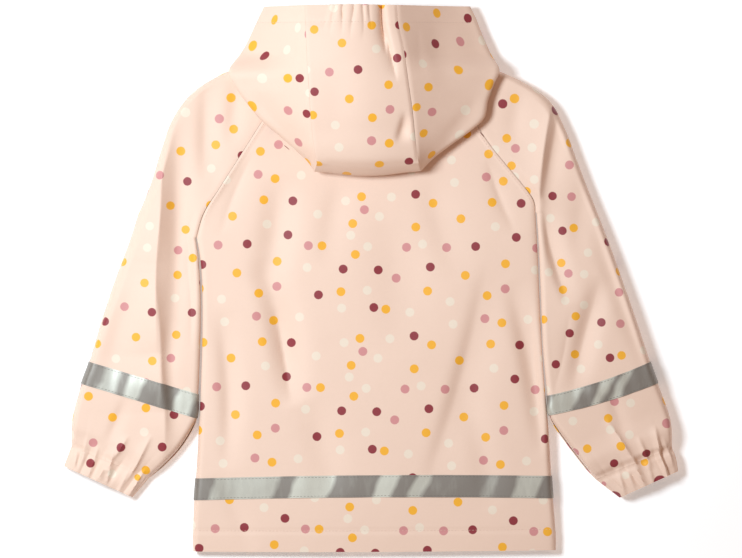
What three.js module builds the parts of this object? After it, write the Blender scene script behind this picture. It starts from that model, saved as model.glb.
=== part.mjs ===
// A toddler raincoat laid on its front on a flat surface, seen from the back.
// Millimetres. +X is the wearer's right, +Y points to the hood and +Z is up.
// The origin is on the surface, under the middle of the laid coat.
import * as THREE from "three";

// Cloth, seams and trims
const CLOTH = 1.4; // thickness of the coated cloth
const SEAM = 0.3; // gap between two pieces at a seam
const CASING = 1.8; // thickness of the elastic casings without their gathers
const TAPE = 0.4; // thickness of the reflective tape
const TAPE_LIFT = SEAM + TAPE; // the cloth stands this far off the surface over a tape
const SIDE_SEAM_HEIGHT = 9; // height of the seams along the laid edges
const EDGE_ROLL = 8; // plan width of a rolled edge
const MOST_ROLL = 0.3; // or at most this share of a narrow row
const ROLL_STEPS = 3;
const RAGLAN_RISE = 0.28; // share of a raglan seam over which it climbs out of the rolled edge
const PER_STATION = 2; // rows made for each row of a table of the body and the sleeves
const STEPS = { back: 13, sleeveBack: 9, sleeveFront: 4, front: 5, ramp: 3 }; // across a row

// Placket and snaps
const LAP = 15; // half the overlap of the two fronts
const LAP_RAMP = 20; // plan width over which the cloth climbs to the overlap
const LAP_MARGIN = 1; // the climb ends this far before the other front's edge
const CAP_RADIUS = 5.5;
const CAP_HEIGHT = 1;
const CAP_SIDES = 20;
const CAP_SPACING = 82;
const LOWEST_CAP = -225;
const SNAPS = 5;
const RIGHT_LAP_HEIGHT = CAP_HEIGHT + SEAM;
const LEFT_LAP_HEIGHT = RIGHT_LAP_HEIGHT + CLOTH + SEAM;

// Rows of numbers under named columns
function table(columns, rows) {
  return rows.map((row) => Object.fromEntries(columns.map((column, i) => [column, row[i]])));
}

// Side edges of the body from the hem to the underarm, with the height of the laid back.
// bow lifts the middle of a row towards the neck.
const BODY = table(
  ["leftX", "leftY", "rightX", "rightY", "top", "bow", "tape"],
  [
    [-177.6, -271.6, 184.4, -270.2, 14, -1, 0], // hem
    [-178.2, -251, 184.2, -250, 16, 0, 0], // hem stitching
    [-177, -220.3, 181.8, -218.3, 18, 2, 1], // tape, lower edge
    [-175.4, -198.6, 180.2, -196, 19, 2, 1], // tape, upper edge
    [-172.3, -150, 176.8, -145, 20, 0, 0], // seat
    [-169.5, -92, 172, -92, 21, 0, 0], // hip
    [-168.5, -34, 168.6, -30, 21.5, 0, 0], // waist
    [-169.8, 12, 166.3, 24, 21.5, 0, 0], // chest
    [-174.2, 42, 164, 67, 21, 0, 0], // underarm
  ],
);

// Raglan seams from the underarm to the neck, with the edge of the arm and shoulder beside them
const RAGLAN = table(
  ["leftX", "leftY", "rightX", "rightY", "armLeftX", "armLeftY", "armRightX", "armRightY"],
  [
    [-174.2, 42, 164, 67, -234, 61.5, 227, 64.5],
    [-167, 66, 161.5, 80, -220.5, 95, 215, 94.5],
    [-151.8, 90.5, 148, 98.5, -210.5, 127, 204, 123.5],
    [-135.2, 116.5, 133, 116.5, -198.5, 160, 193.5, 151],
    [-118.6, 142.6, 117.5, 136, -177.5, 187.5, 178, 178.5],
    [-102, 168.6, 103, 158, -143, 208, 149, 198.5],
    [-86, 192.5, 87.5, 185, -109, 216.5, 113, 213],
    [-70, 215.5, 72, 215.5, -83, 219, 82, 217.5],
  ],
);
const NECK_BOW = -6; // the back neckline dips by this much
const FRONT_NECK_DROP = 13; // the front neckline at the placket, below the raglan seam's end
const FRONT_NECK_BOW = -2;
const NECK_HEIGHT = 20;
const BACK_DOME = 1.5;

// Sleeves from the cuff seam to the underarm: the outer and the inner laid edge
const SLEEVE_COLUMNS = ["outerX", "outerY", "innerX", "innerY", "top", "bow", "tape"];
const SLEEVE = {
  left: table(SLEEVE_COLUMNS, [
    [-299.5, -166.5, -222, -198.5, 18, 0, 0], // cuff seam
    [-298.5, -139, -193, -170, 21, 0, 0], // forearm
    [-289.4, -104, -174.4, -138.5, 23, 0, 1], // tape, lower edge
    [-281.6, -82, -172.4, -114.5, 24, 0, 1], // tape, upper edge
    [-268, -36, -170.8, -76, 24, 0, 0], // elbow
    [-252.5, 9, -169.8, -22, 23, 0, 0], // upper arm
    [-241.5, 38, -172, 18, 22, 0, 0], // below underarm
    [-234, 61.5, -175.2, 41, 21, 0, 0], // underarm
  ]),
  right: table(SLEEVE_COLUMNS, [
    [300.5, -167.5, 224, -199.5, 18, 0, 0], // cuff seam
    [299, -140, 199, -167.5, 21, -1, 0], // forearm
    [286.3, -103.4, 177.6, -135.5, 23, -3, 1], // tape, lower edge
    [278.7, -82.1, 175.6, -116, 24, -3, 1], // tape, upper edge
    [261, -29, 171.2, -68, 24, 0, 0], // elbow
    [243, 22, 169, -10, 23, 0, 0], // upper arm
    [234.5, 45, 167, 36, 22, 0, 0], // below underarm
    [227, 64.5, 165, 66, 21, 0, 0], // underarm
  ]),
};

// Cuffs: the laid edge of the open end, seen from above
const CUFF = {
  left: { outerX: -306.8, outerY: -186.4, innerX: -238, innerY: -217.5 },
  right: { outerX: 306.4, outerY: -191.5, innerX: 248, innerY: -217.8 },
};
const CUFF_HALF_HEIGHT = 8.5;
const CUFF_OVAL = { wide: 0.8, high: 0.7 }; // under 1, the oval is squarer than an ellipse
const CUFF_PINCH = 0.55; // height of the gathers at the cuff's two edges, against its middle
const CUFF_ROWS = 4;
const CUFF_GATHERS = 18; // round the whole cuff
const CUFF_GATHER_RISE = 2.2;

const FOLD_TAPER = 0.15; // a fold fades out over this share of its run past each end
const FOLD_FADE = 20; // and within this distance of a panel's edge
// Soft folds of the back and the sleeves: the run of each trough, its half width and its depth
const BACK_FOLDS = [
  { x0: -91, y0: 90, x1: -104, y1: 0, width: 15, depth: 4 },
  { x0: -104, y0: 0, x1: -81, y1: -110, width: 14, depth: 5.5 },
  { x0: -148, y0: -50, x1: -143, y1: -170, width: 10, depth: 3 },
  { x0: 144, y0: -20, x1: 169, y1: -155, width: 11, depth: 4 },
  { x0: 109, y0: -20, x1: 64, y1: -185, width: 20, depth: 3 },
];
const SLEEVE_FOLDS = {
  left: [
    { x0: -203, y0: 140, x1: -208, y1: -70, width: 11, depth: 6 },
    { x0: -208, y0: -70, x1: -206, y1: -145, width: 12, depth: 4.5 },
    { x0: -164, y0: 180, x1: -166, y1: 110, width: 10, depth: 3 },
  ],
  right: [
    { x0: 180, y0: 172, x1: 170, y1: 82, width: 7, depth: 6 },
    { x0: 176, y0: 60, x1: 196, y1: -8, width: 9, depth: 5 },
    { x0: 228, y0: -20, x1: 206, y1: -90, width: 11, depth: 4.5 },
  ],
};

// Hood side panels from the face edge to the fold at the back of the head.
// Each row runs from the seam beside the centre strip, over the laid edge (nose), and under it to the neck.
const HOOD_COLUMNS = [
  "seamX", "seamY", "seamZ", "noseX", "noseY", "noseZ", "base", "endX", "endY", "endZ",
];
const HOOD = {
  left: table(HOOD_COLUMNS, [
    [-66, 272.5, 70, -107, 272.5, 14, 0, -1.6, 205.4, 0], // face
    [-65.7, 260.5, 72, -112.5, 261.5, 14, 0, -26, 208.4, 0], // casing
    [-65, 247.5, 74, -118.5, 248.5, 14, 0, -51, 213.4, 0], // brow
    [-64.4, 234.5, 75, -124.5, 235.5, 15, 0, -70, 219.6, 0], // temple
    [-64, 222.5, 75, -132, 223.5, 16, 0, -80, 221.6, 0], // cheek
    [-63, 207.5, 75, -142, 208, 30, 24, -80.5, 218, 21.5], // side neck
    [-62, 191.5, 74, -135, 191.5, 31, 24, -69, 214.5, 21.5], // raglan
    [-61, 175.5, 72, -123, 174.5, 31, 24, -52, 210.5, 21.5], // nape corner
    [-60, 159.5, 69, -109, 158, 31, 24, -52, 191.5, 24], // crown
    [-58.5, 144.5, 65, -92, 143.5, 31.5, 24, -52.5, 171.5, 24], // back of head
    [-57, 131.5, 60, -77, 130, 32.5, 24, -53, 149.5, 24], // lower crown
    [-55.2, 121.5, 55, -64, 118, 33.5, 24.5, -53.5, 129.5, 24.5], // above fold
    [-54, 115.5, 50, -54, 107.5, 36, 25, -54, 116.5, 25], // fold
  ]),
  right: table(HOOD_COLUMNS, [
    [26, 272.5, 70, 99, 272.5, 14, 0, 1.6, 205.4, 0], // face
    [26.5, 260.5, 72, 104.5, 261.5, 14, 0, 26, 208.4, 0], // casing
    [28.5, 247.5, 74, 109.5, 248.5, 14, 0, 51, 213.4, 0], // brow
    [31.5, 234.5, 75, 115, 235.5, 15, 0, 70, 219.6, 0], // temple
    [33.5, 222.5, 75, 120.5, 223.5, 16, 0, 79.5, 221.6, 0], // cheek
    [35.5, 207.5, 75, 128, 209, 30, 24, 80, 218, 21.5], // side neck
    [37.5, 193.5, 74, 122, 193.5, 31, 24, 70, 214.5, 21.5], // raglan
    [39.5, 179.5, 72, 116.5, 178.5, 31, 24, 52, 210.5, 21.5], // nape corner
    [41.5, 164.5, 69, 113, 161.5, 31, 24, 51.5, 191.5, 24], // crown
    [43, 149.5, 65, 101, 149.5, 31.5, 24, 50.5, 171.5, 24], // back of head
    [44.5, 134.5, 60, 81, 135, 32.5, 24, 49.5, 149.5, 24], // lower crown
    [46, 122.5, 55, 63, 121.5, 33.5, 24.5, 48.5, 129.5, 24.5], // above fold
    [47, 115.5, 50, 47, 108, 36, 25, 47, 116.5, 25], // fold
  ]),
};
const NAPE_STATION = 7; // from here on the end of a row is the seam to the centre strip
const HOOD_ROLL = 7;
const MOST_HOOD_ROLL = 0.6; // or at most this share of a short row
const HOOD_SHOULDER = 8; // rise of the cloth just above the laid edge
const MOST_HOOD_SHOULDER = 0.4; // or at most this share of the whole rise
const HOOD_SLOPE_POWER = 1.3; // over 1, the sides are steeper beside the centre strip
const HOOD_DOME = 6; // rise of the centre strip between its two seams
const HOOD_OVER_STEPS = 5;
const HOOD_UNDER_STEPS = 4;
const FOLD_BULGE = 6; // how far the middle of the back fold bulges down the back
const FOLD_BULGE_ROWS = 8;
const BROW_GATHERS = { from: -40, to: 29, waves: 7, rise: 3.2, fadeY: 226, fade: 40 };
const BROW_FOLD = { x0: 23, y0: 273, x1: 22, y1: 222, width: 6, depth: 7 };

const COLOURS = {
  cloth: 0xf7dccb,
  tape: 0xa5a497,
  snap: 0xf1cdb8,
};

// One column of a table as a smooth function of the row number
function track(stations, key) {
  const curve = new THREE.SplineCurve(stations.map((row, i) => new THREE.Vector2(i, row[key])));
  return (row) => curve.getPoint(row / (stations.length - 1)).y;
}

// Rows of a table, smoothed, with some rows for each of its own
function smoothRows(stations, keys, perStation = PER_STATION) {
  const tracks = keys.map((key) => track(stations, key));
  const rows = [];
  for (let i = 0; i <= (stations.length - 1) * perStation; i++) {
    const row = {};
    keys.forEach((key, k) => {
      row[key] = tracks[k](i / perStation);
    });
    rows.push(row);
  }
  return rows;
}

// Height of a rolled edge, from 0 at the edge to 1 where the roll ends
function roll(distance, radius) {
  const share = Math.min(Math.max(distance, 0) / radius, 1);
  return Math.sqrt(1 - (1 - share) ** 2);
}

function smoothStep(value) {
  return THREE.MathUtils.smoothstep(value, 0, 1);
}

// Distances from a rolled edge, finer near the edge
function rollSteps(radius) {
  const steps = [];
  for (let i = 0; i < ROLL_STEPS; i++) {
    steps.push(radius * (1 - Math.cos(((i / ROLL_STEPS) * Math.PI) / 2)));
  }
  return steps;
}

function evenSteps(from, to, count) {
  const steps = [];
  for (let i = 0; i <= count; i++) steps.push(from + ((to - from) * i) / count);
  return steps;
}

// Distances across a row that is rolled at both ends
function rolledRow(middle) {
  return (width, radius) => {
    const edge = rollSteps(radius);
    const far = edge.map((step) => width - step).reverse();
    return [...edge, ...evenSteps(radius, width - radius, middle), ...far];
  };
}

// Distances across a front, from its rolled side to the edge of the lap
function frontRow(width, radius) {
  const rampEnd = width - 2 * LAP - LAP_MARGIN;
  const rampStart = rampEnd - LAP_RAMP;
  return [
    ...rollSteps(radius),
    ...evenSteps(radius, rampStart, STEPS.front),
    ...evenSteps(rampStart, rampEnd, STEPS.ramp).slice(1),
    width - LAP,
    width,
  ];
}

// Depth of the soft folds at a point of the plan
function foldDepth(folds, x, y) {
  let depth = 0;
  for (const fold of folds) {
    const run = new THREE.Vector2(fold.x1 - fold.x0, fold.y1 - fold.y0);
    const from = new THREE.Vector2(x - fold.x0, y - fold.y0);
    const along = from.dot(run) / run.lengthSq();
    const off = from.cross(run) / run.length();
    const share = THREE.MathUtils.clamp((along + FOLD_TAPER) / (1 + 2 * FOLD_TAPER), 0, 1);
    const ends = Math.sin(Math.PI * share);
    depth += fold.depth * ends * Math.exp(-((off / fold.width) ** 2));
  }
  return depth;
}

// Outward normals of a grid of points; a closed grid joins its last column to its first
function gridNormals(grid, closed, flip) {
  const rows = grid.length;
  const columns = grid[0].length;
  return grid.map((line, r) =>
    line.map((point, c) => {
      const before = closed ? (c + columns - 1) % columns : Math.max(c - 1, 0);
      const after = closed ? (c + 1) % columns : Math.min(c + 1, columns - 1);
      const across = new THREE.Vector3().subVectors(line[after], line[before]);
      const along = new THREE.Vector3().subVectors(
        grid[Math.min(r + 1, rows - 1)][c],
        grid[Math.max(r - 1, 0)][c],
      );
      const normal = across.cross(along).normalize();
      return flip ? normal.negate() : normal;
    }),
  );
}

// A closed wall between an outer and an inner grid of points
function wallGeometry(outer, inner, closed, flip) {
  const rows = outer.length;
  const columns = outer[0].length;
  const positions = [];
  for (const grid of [outer, inner]) {
    for (const line of grid) {
      for (const point of line) positions.push(point.x, point.y, point.z);
    }
  }
  const index = [];
  const at = (side, r, c) => side * rows * columns + r * columns + (c % columns);
  const quad = (a, b, c, d) => {
    if (flip) index.push(a, c, b, a, d, c);
    else index.push(a, b, c, a, c, d);
  };
  const spans = closed ? columns : columns - 1;
  for (let r = 0; r < rows - 1; r++) {
    for (let c = 0; c < spans; c++) {
      quad(at(0, r, c), at(0, r, c + 1), at(0, r + 1, c + 1), at(0, r + 1, c));
      quad(at(1, r, c), at(1, r + 1, c), at(1, r + 1, c + 1), at(1, r, c + 1));
    }
  }
  for (let c = 0; c < spans; c++) {
    quad(at(1, 0, c), at(1, 0, c + 1), at(0, 0, c + 1), at(0, 0, c));
    quad(at(0, rows - 1, c), at(0, rows - 1, c + 1), at(1, rows - 1, c + 1), at(1, rows - 1, c));
  }
  if (!closed) {
    for (let r = 0; r < rows - 1; r++) {
      quad(at(1, r, 0), at(0, r, 0), at(0, r + 1, 0), at(1, r + 1, 0));
      const last = columns - 1;
      quad(at(0, r, last), at(1, r, last), at(1, r + 1, last), at(0, r + 1, last));
    }
  }
  const geometry = new THREE.BufferGeometry();
  geometry.setAttribute("position", new THREE.Float32BufferAttribute(positions, 3));
  geometry.setIndex(index);
  geometry.computeVertexNormals();
  return geometry;
}

// The points of a grid moved along its normals
function moved(grid, normals, distance) {
  return grid.map((line, r) =>
    line.map((point, c) => point.clone().addScaledVector(normals[r][c], distance)),
  );
}

function material(kind) {
  const tape = kind === "tape";
  return new THREE.MeshStandardMaterial({
    color: COLOURS[kind],
    roughness: tape ? 0.4 : 0.55,
    metalness: tape ? 0.35 : 0,
    side: THREE.DoubleSide,
  });
}

const coat = new THREE.Group();

function addMesh(name, geometry, kind) {
  const mesh = new THREE.Mesh(geometry, material(kind));
  mesh.name = name;
  coat.add(mesh);
}

// A cloth panel: its outer points, their normals and which way it faces
function addPanel(name, panel, kind, thickness) {
  const inner = moved(panel.points, panel.normals, -thickness);
  addMesh(name, wallGeometry(panel.points, inner, false, panel.flip), kind);
}

// A tape that lies on some rows of a panel
function addTape(name, panel, firstRow, lastRow) {
  const points = panel.points.slice(firstRow, lastRow + 1);
  const normals = panel.normals.slice(firstRow, lastRow + 1);
  const under = moved(points, normals, SEAM);
  const over = moved(points, normals, SEAM + TAPE);
  addMesh(name, wallGeometry(over, under, false, panel.flip), "tape");
}

// One laid panel. Each row gives its two ends in plan, the heights of the ends and of the cloth between them.
// upper panels face up and roll down to their edges, lower ones face down and roll up.
// across gives the distances of the points from the start of a row.
function laidPanel(rows, across, upper, folds, flip) {
  const points = rows.map((row) => {
    const start = new THREE.Vector2(row.startX, row.startY);
    const span = new THREE.Vector2(row.endX, row.endY).sub(start);
    const width = span.length();
    const radius = Math.min(EDGE_ROLL, width * MOST_ROLL);
    return across(width, radius).map((step) => {
      const share = step / width;
      const x = start.x + span.x * share;
      const y = start.y + span.y * share + row.bow * 4 * share * (1 - share);
      const startRoll = row.startPlain ? 1 : roll(step, radius);
      const endRoll = row.endPlain ? 1 : roll(width - step, radius);
      let z = row.height(x, share);
      if (upper) {
        const inside = Math.min(step, width - step) / FOLD_FADE;
        z -= foldDepth(folds, x, y) * smoothStep(inside);
      }
      z += (row.startZ - z) * (1 - startRoll);
      z += (row.endZ - z) * (1 - endRoll);
      return new THREE.Vector3(x, y, z);
    });
  });
  const normals = gridNormals(points, false, flip);
  const last = points[0].length - 1;
  rows.forEach((row, r) => {
    levelNormal(normals[r][0], row.startLevel);
    levelNormal(normals[r][last], row.endLevel);
  });
  return { points, normals, flip };
}

// Turns a normal towards level, so that two rolled edges meet on a level seam
function levelNormal(normal, share) {
  normal.z *= 1 - share;
  normal.normalize();
}

// How far a row has climbed up the raglan seam: 0 at the rolled edge, 1 where the seam is flat
function raglanClimb(row, underarmRow) {
  const count = (RAGLAN.length - 1) * PER_STATION;
  return smoothStep((row - underarmRow) / count / RAGLAN_RISE);
}

function seamEnd(climb, flatHeight, upper) {
  const offset = upper ? SEAM / 2 : -SEAM / 2;
  return THREE.MathUtils.lerp(SIDE_SEAM_HEIGHT + offset, flatHeight, climb);
}

// Body rows from the hem to the neck
const bodyRows = smoothRows(BODY, ["leftX", "leftY", "rightX", "rightY", "top", "bow"]);
const UNDERARM_ROW = bodyRows.length - 1;
const raglanRows = smoothRows(RAGLAN, Object.keys(RAGLAN[0]));
raglanRows.slice(1).forEach((row, i) => {
  const share = (i + 1) / (raglanRows.length - 1);
  bodyRows.push({
    ...row,
    top: THREE.MathUtils.lerp(BODY[BODY.length - 1].top, NECK_HEIGHT, share),
    bow: NECK_BOW * share,
  });
});

function tapeRows(stations) {
  const first = stations.findIndex((row) => row.tape) * PER_STATION;
  return [first, first + PER_STATION];
}

// The cloth that lies on the surface stands off it over a tape
function underHeight(row, tape) {
  const away = Math.max(tape[0] - row, row - tape[1], 0);
  return away === 0 ? TAPE_LIFT : 0;
}

function makeBack() {
  const rows = bodyRows.map((row, r) => {
    const climb = raglanClimb(r, UNDERARM_ROW);
    const flat = row.top;
    return {
      startX: row.leftX + SEAM / 2,
      startY: row.leftY,
      endX: row.rightX - SEAM / 2,
      endY: row.rightY,
      bow: row.bow,
      startZ: seamEnd(climb, flat, true),
      endZ: seamEnd(climb, flat, true),
      startLevel: 1 - climb,
      endLevel: 1 - climb,
      height: (x, share) => flat + BACK_DOME * Math.sin(Math.PI * share) * (1 - climb),
    };
  });
  const panel = laidPanel(rows, rolledRow(STEPS.back), true, BACK_FOLDS, false);
  addPanel("back", panel, "cloth", CLOTH);
  addTape("tape_back", panel, ...tapeRows(BODY));
}

// The plain panels that lie on the surface need only the rows of the tables
function stationRows(rows) {
  return rows.filter((row, r) => r % PER_STATION === 0);
}

// The two fronts lie on the surface and lap at the middle
function makeFront(side) {
  const left = side === "left";
  const towards = left ? 1 : -1;
  const lapHeight = left ? LEFT_LAP_HEIGHT : RIGHT_LAP_HEIGHT;
  const tape = tapeRows(BODY);
  const lastRow = bodyRows.length - 1;
  const rows = bodyRows.map((row, r) => {
    const climb = raglanClimb(r, UNDERARM_ROW);
    const base = underHeight(r, tape);
    const middleY = (row.leftY + row.rightY) / 2 + row.bow;
    const drop = r > UNDERARM_ROW ? ((r - UNDERARM_ROW) / (lastRow - UNDERARM_ROW)) ** 2 : 0;
    const lap = lapHeight + (left && base > 0 ? TAPE_LIFT : 0);
    return {
      startX: row[side + "X"] + (towards * SEAM) / 2,
      startY: row[side + "Y"],
      endX: towards * LAP,
      endY: middleY - (FRONT_NECK_DROP + NECK_BOW) * drop,
      bow: FRONT_NECK_BOW * drop,
      startZ: seamEnd(climb, base, false),
      endZ: base + lap,
      startLevel: 1 - climb,
      endLevel: 0,
      endPlain: true,
      height: (x) => base + lap * smoothStep((x * towards + LAP + LAP_MARGIN + LAP_RAMP) / LAP_RAMP),
    };
  });
  const panel = laidPanel(stationRows(rows), frontRow, false, [], left);
  addPanel("front_" + side, panel, "cloth", CLOTH);
  addTape("tape_front_" + side, panel, ...tape.map((row) => row / PER_STATION));
}

// Sleeve rows from the cuff seam to the neck
function sleeveRows(side) {
  const low = smoothRows(SLEEVE[side], ["outerX", "outerY", "innerX", "innerY", "top", "bow"]);
  const arm = side === "left" ? "armLeft" : "armRight";
  const share = (i) => i / (raglanRows.length - 1);
  const high = raglanRows.slice(1).map((row, i) => ({
    outerX: row[arm + "X"],
    outerY: row[arm + "Y"],
    innerX: row[side + "X"],
    innerY: row[side + "Y"],
    top: THREE.MathUtils.lerp(SLEEVE[side][SLEEVE[side].length - 1].top, NECK_HEIGHT, share(i + 1)),
    bow: 0,
  }));
  return { rows: low.concat(high), underarm: low.length - 1 };
}

function makeSleeve(side) {
  const inward = side === "left" ? 1 : -1;
  const { rows: plan, underarm } = sleeveRows(side);
  const tape = tapeRows(SLEEVE[side]);
  for (const upper of [true, false]) {
    const rows = plan.map((row, r) => {
      const climb = raglanClimb(r, underarm);
      const base = underHeight(r, tape);
      const bodyTop = r > underarm ? bodyRows[UNDERARM_ROW + r - underarm].top : row.top;
      return {
        startX: row.outerX,
        startY: row.outerY,
        endX: row.innerX - (inward * SEAM) / 2,
        endY: row.innerY,
        bow: row.bow,
        startZ: seamEnd(0, 0, upper),
        endZ: seamEnd(climb, upper ? bodyTop : base, upper),
        startLevel: 1,
        endLevel: 1 - climb,
        height: () => (upper ? row.top : base),
      };
    });
    const flip = (side === "left") !== upper;
    const panel = upper
      ? laidPanel(rows, rolledRow(STEPS.sleeveBack), true, SLEEVE_FOLDS[side], flip)
      : laidPanel(stationRows(rows), rolledRow(STEPS.sleeveFront), false, [], flip);
    const part = upper ? "_back" : "_front";
    addPanel("sleeve_" + side + part, panel, "cloth", CLOTH);
    addTape("tape_sleeve_" + side + part, panel, ...tape.map((row) => (upper ? row : row / PER_STATION)));
  }
}

// A cuff is a ring: a flattened oval with gathers on its outside and a plain inside
function makeCuff(side) {
  const seam = SLEEVE[side][0];
  const end = CUFF[side];
  const away = new THREE.Vector2(end.outerX - seam.outerX, end.outerY - seam.outerY).setLength(SEAM);
  const armward = new THREE.Vector3(seam.innerY - seam.outerY, seam.outerX - seam.innerX, 0).normalize();
  const base = [];
  const spokes = CUFF_GATHERS * 2;
  for (let r = 0; r <= CUFF_ROWS; r++) {
    const share = r / CUFF_ROWS;
    const from = new THREE.Vector2(seam.outerX, seam.outerY).add(away);
    const to = new THREE.Vector2(seam.innerX, seam.innerY).add(away);
    from.lerp(new THREE.Vector2(end.outerX, end.outerY), share);
    to.lerp(new THREE.Vector2(end.innerX, end.innerY), share);
    const middle = from.clone().add(to).multiplyScalar(0.5);
    const half = to.clone().sub(from).multiplyScalar(0.5);
    const line = [];
    for (let c = 0; c < spokes; c++) {
      const angle = (2 * Math.PI * (c + 0.5)) / spokes;
      const wide = Math.sign(Math.cos(angle)) * Math.abs(Math.cos(angle)) ** CUFF_OVAL.wide;
      const high = Math.sign(Math.sin(angle)) * Math.abs(Math.sin(angle)) ** CUFF_OVAL.high;
      const z = CUFF_HALF_HEIGHT * (1 + high);
      line.push(new THREE.Vector3(middle.x + half.x * wide, middle.y + half.y * wide, z));
    }
    base.push(line);
  }
  const flip = side === "right";
  const normals = gridNormals(base, true, flip);
  for (const normal of normals[0]) normal.addScaledVector(armward, -normal.dot(armward)).normalize();
  const outer = base.map((line, r) =>
    line.map((point, c) => {
      const crest = c % 2 === 1 ? 1 : 0;
      const pinch = CUFF_PINCH + (1 - CUFF_PINCH) * Math.sin((Math.PI * r) / CUFF_ROWS);
      const rise = point.z > CUFF_HALF_HEIGHT ? CUFF_GATHER_RISE * crest * pinch : 0;
      return point.clone().addScaledVector(normals[r][c], rise);
    }),
  );
  const inner = moved(base, normals, -CASING);
  addMesh("cuff_" + side, wallGeometry(outer, inner, true, flip), "cloth");
}

// A hood side panel: over the laid edge from the seam to the nose, then under it to the neck
function hoodSideGrid(side) {
  return smoothRows(HOOD[side], HOOD_COLUMNS, 1).map((row) => {
    const seam = new THREE.Vector2(row.seamX, row.seamY);
    const nose = new THREE.Vector2(row.noseX, row.noseY);
    const end = new THREE.Vector2(row.endX, row.endY);
    const overWidth = seam.distanceTo(nose);
    const underWidth = end.distanceTo(nose);
    const overRoll = Math.min(HOOD_ROLL, overWidth * MOST_HOOD_ROLL);
    const underRoll = Math.min(HOOD_ROLL, underWidth * MOST_HOOD_ROLL);
    const rise = row.seamZ - row.noseZ;
    const shoulder = Math.min(HOOD_SHOULDER, rise * MOST_HOOD_SHOULDER);
    const line = [];
    const over = (distance) => {
      const share = distance / overWidth;
      const plan = nose.clone().lerp(seam, share);
      const slope = (rise - shoulder) * share ** HOOD_SLOPE_POWER;
      const z = row.noseZ + shoulder * roll(distance, overRoll) + slope;
      line.push(new THREE.Vector3(plan.x, plan.y, z));
    };
    const under = (distance) => {
      const share = distance / underWidth;
      const plan = nose.clone().lerp(end, share);
      const lying = Math.max(THREE.MathUtils.lerp(row.base, row.endZ, share), 0);
      const z = lying + (row.noseZ - lying) * (1 - roll(distance, underRoll));
      line.push(new THREE.Vector3(plan.x, plan.y, z));
    };
    const overRun = [...rollSteps(overRoll).slice(1), ...evenSteps(overRoll, overWidth, HOOD_OVER_STEPS)];
    overRun.reverse().forEach(over);
    [...rollSteps(underRoll), ...evenSteps(underRoll, underWidth, HOOD_UNDER_STEPS)].forEach(under);
    return line;
  });
}

// The seam between a side panel and the centre strip: down the crown, round the fold and up to the nape
function hoodSeamLine(grid) {
  const last = grid.length - 1;
  const crown = grid.map((line) => line[0]);
  const fold = grid[last].slice(1);
  const nape = [];
  for (let r = last - 1; r >= NAPE_STATION; r--) nape.push(grid[r][grid[r].length - 1]);
  return crown.concat(fold, nape);
}

function makeHood() {
  const grids = { left: hoodSideGrid("left"), right: hoodSideGrid("right") };
  for (const side of ["left", "right"]) {
    const outwards = side === "left" ? -1 : 1;
    const grid = grids[side].map((line) => line.map((p) => p.clone()));
    const last = grid.length - 1;
    const end = grid[0].length - 1;
    const flip = side === "right";
    const normals = gridNormals(grid, false, flip);
    const onSeam = (r, c) => c === 0 || r === last || (c === end && r >= NAPE_STATION);
    grid.forEach((line, r) =>
      line.forEach((point, c) => {
        if (!onSeam(r, c)) return;
        point.x += (outwards * SEAM) / 2;
        normals[r][c].x = 0;
        normals[r][c].normalize();
      }),
    );
    addPanel("hood_" + side, { points: grid, normals, flip }, "cloth", CLOTH);
  }
  makeHoodCentre(hoodSeamLine(grids.left), hoodSeamLine(grids.right), grids.left.length);
}

// Gathers and the deep fold of the brow, raised on the outside of the centre strip
function browRelief(x, y, crest) {
  const fade = smoothStep((y - BROW_GATHERS.fadeY) / BROW_GATHERS.fade);
  const gathered = x > BROW_GATHERS.from - 1 && x < BROW_GATHERS.to + 1;
  return gathered && crest ? BROW_GATHERS.rise * fade : 0;
}

// The centre strip runs over the crown, round the fold and up to the nape between the two seams
function makeHoodCentre(left, right, crownRows) {
  const { from, to, waves } = BROW_GATHERS;
  const marks = [(left[0].x + from) / 2];
  for (let i = 0; i <= waves * 2; i++) marks.push(from + ((to - from) * i) / (waves * 2));
  const points = left.map((start, r) => {
    const first = start.clone();
    const final = right[r].clone();
    first.x += SEAM / 2;
    final.x -= SEAM / 2;
    const faceStart = left[0].x;
    const faceSpan = right[0].x - faceStart;
    const shares = [0, ...marks.map((x) => (x - faceStart) / faceSpan), 1].filter((s) => s <= 1);
    return shares.map((share) => {
      const point = first.clone().lerp(final, share);
      const bulge = Math.sin(Math.PI * share);
      if (r < crownRows) {
        point.z += HOOD_DOME * bulge;
        point.z -= foldDepth([BROW_FOLD], point.x, point.y) * bulge;
      }
      return point;
    });
  });
  roundFold(points);
  const normals = gridNormals(points, false, true);
  normals.forEach((line) => {
    for (const normal of [line[0], line[line.length - 1]]) {
      normal.x = 0;
      normal.normalize();
    }
  });
  const outer = points.map((line, r) =>
    line.map((point, c) => {
      const rise = r < crownRows ? browRelief(point.x, point.y, c % 2 === 1) : 0;
      return point.clone().addScaledVector(normals[r][c], rise);
    }),
  );
  const inner = moved(points, normals, -CLOTH);
  addMesh("hood_centre", wallGeometry(outer, inner, false, true), "cloth");
}

// The fold at the back of the head bulges down the back in its middle
function roundFold(points) {
  const lowest = points.reduce((best, line, r) => (line[0].y < points[best][0].y ? r : best), 0);
  points.forEach((line, r) => {
    const near = 1 - Math.min(Math.abs(r - lowest) / FOLD_BULGE_ROWS, 1);
    const last = line.length - 1;
    line.forEach((point) => {
      const share = (point.x - line[0].x) / (line[last].x - line[0].x);
      point.y -= FOLD_BULGE * Math.sin(Math.PI * share) * smoothStep(near);
    });
  });
}

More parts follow.
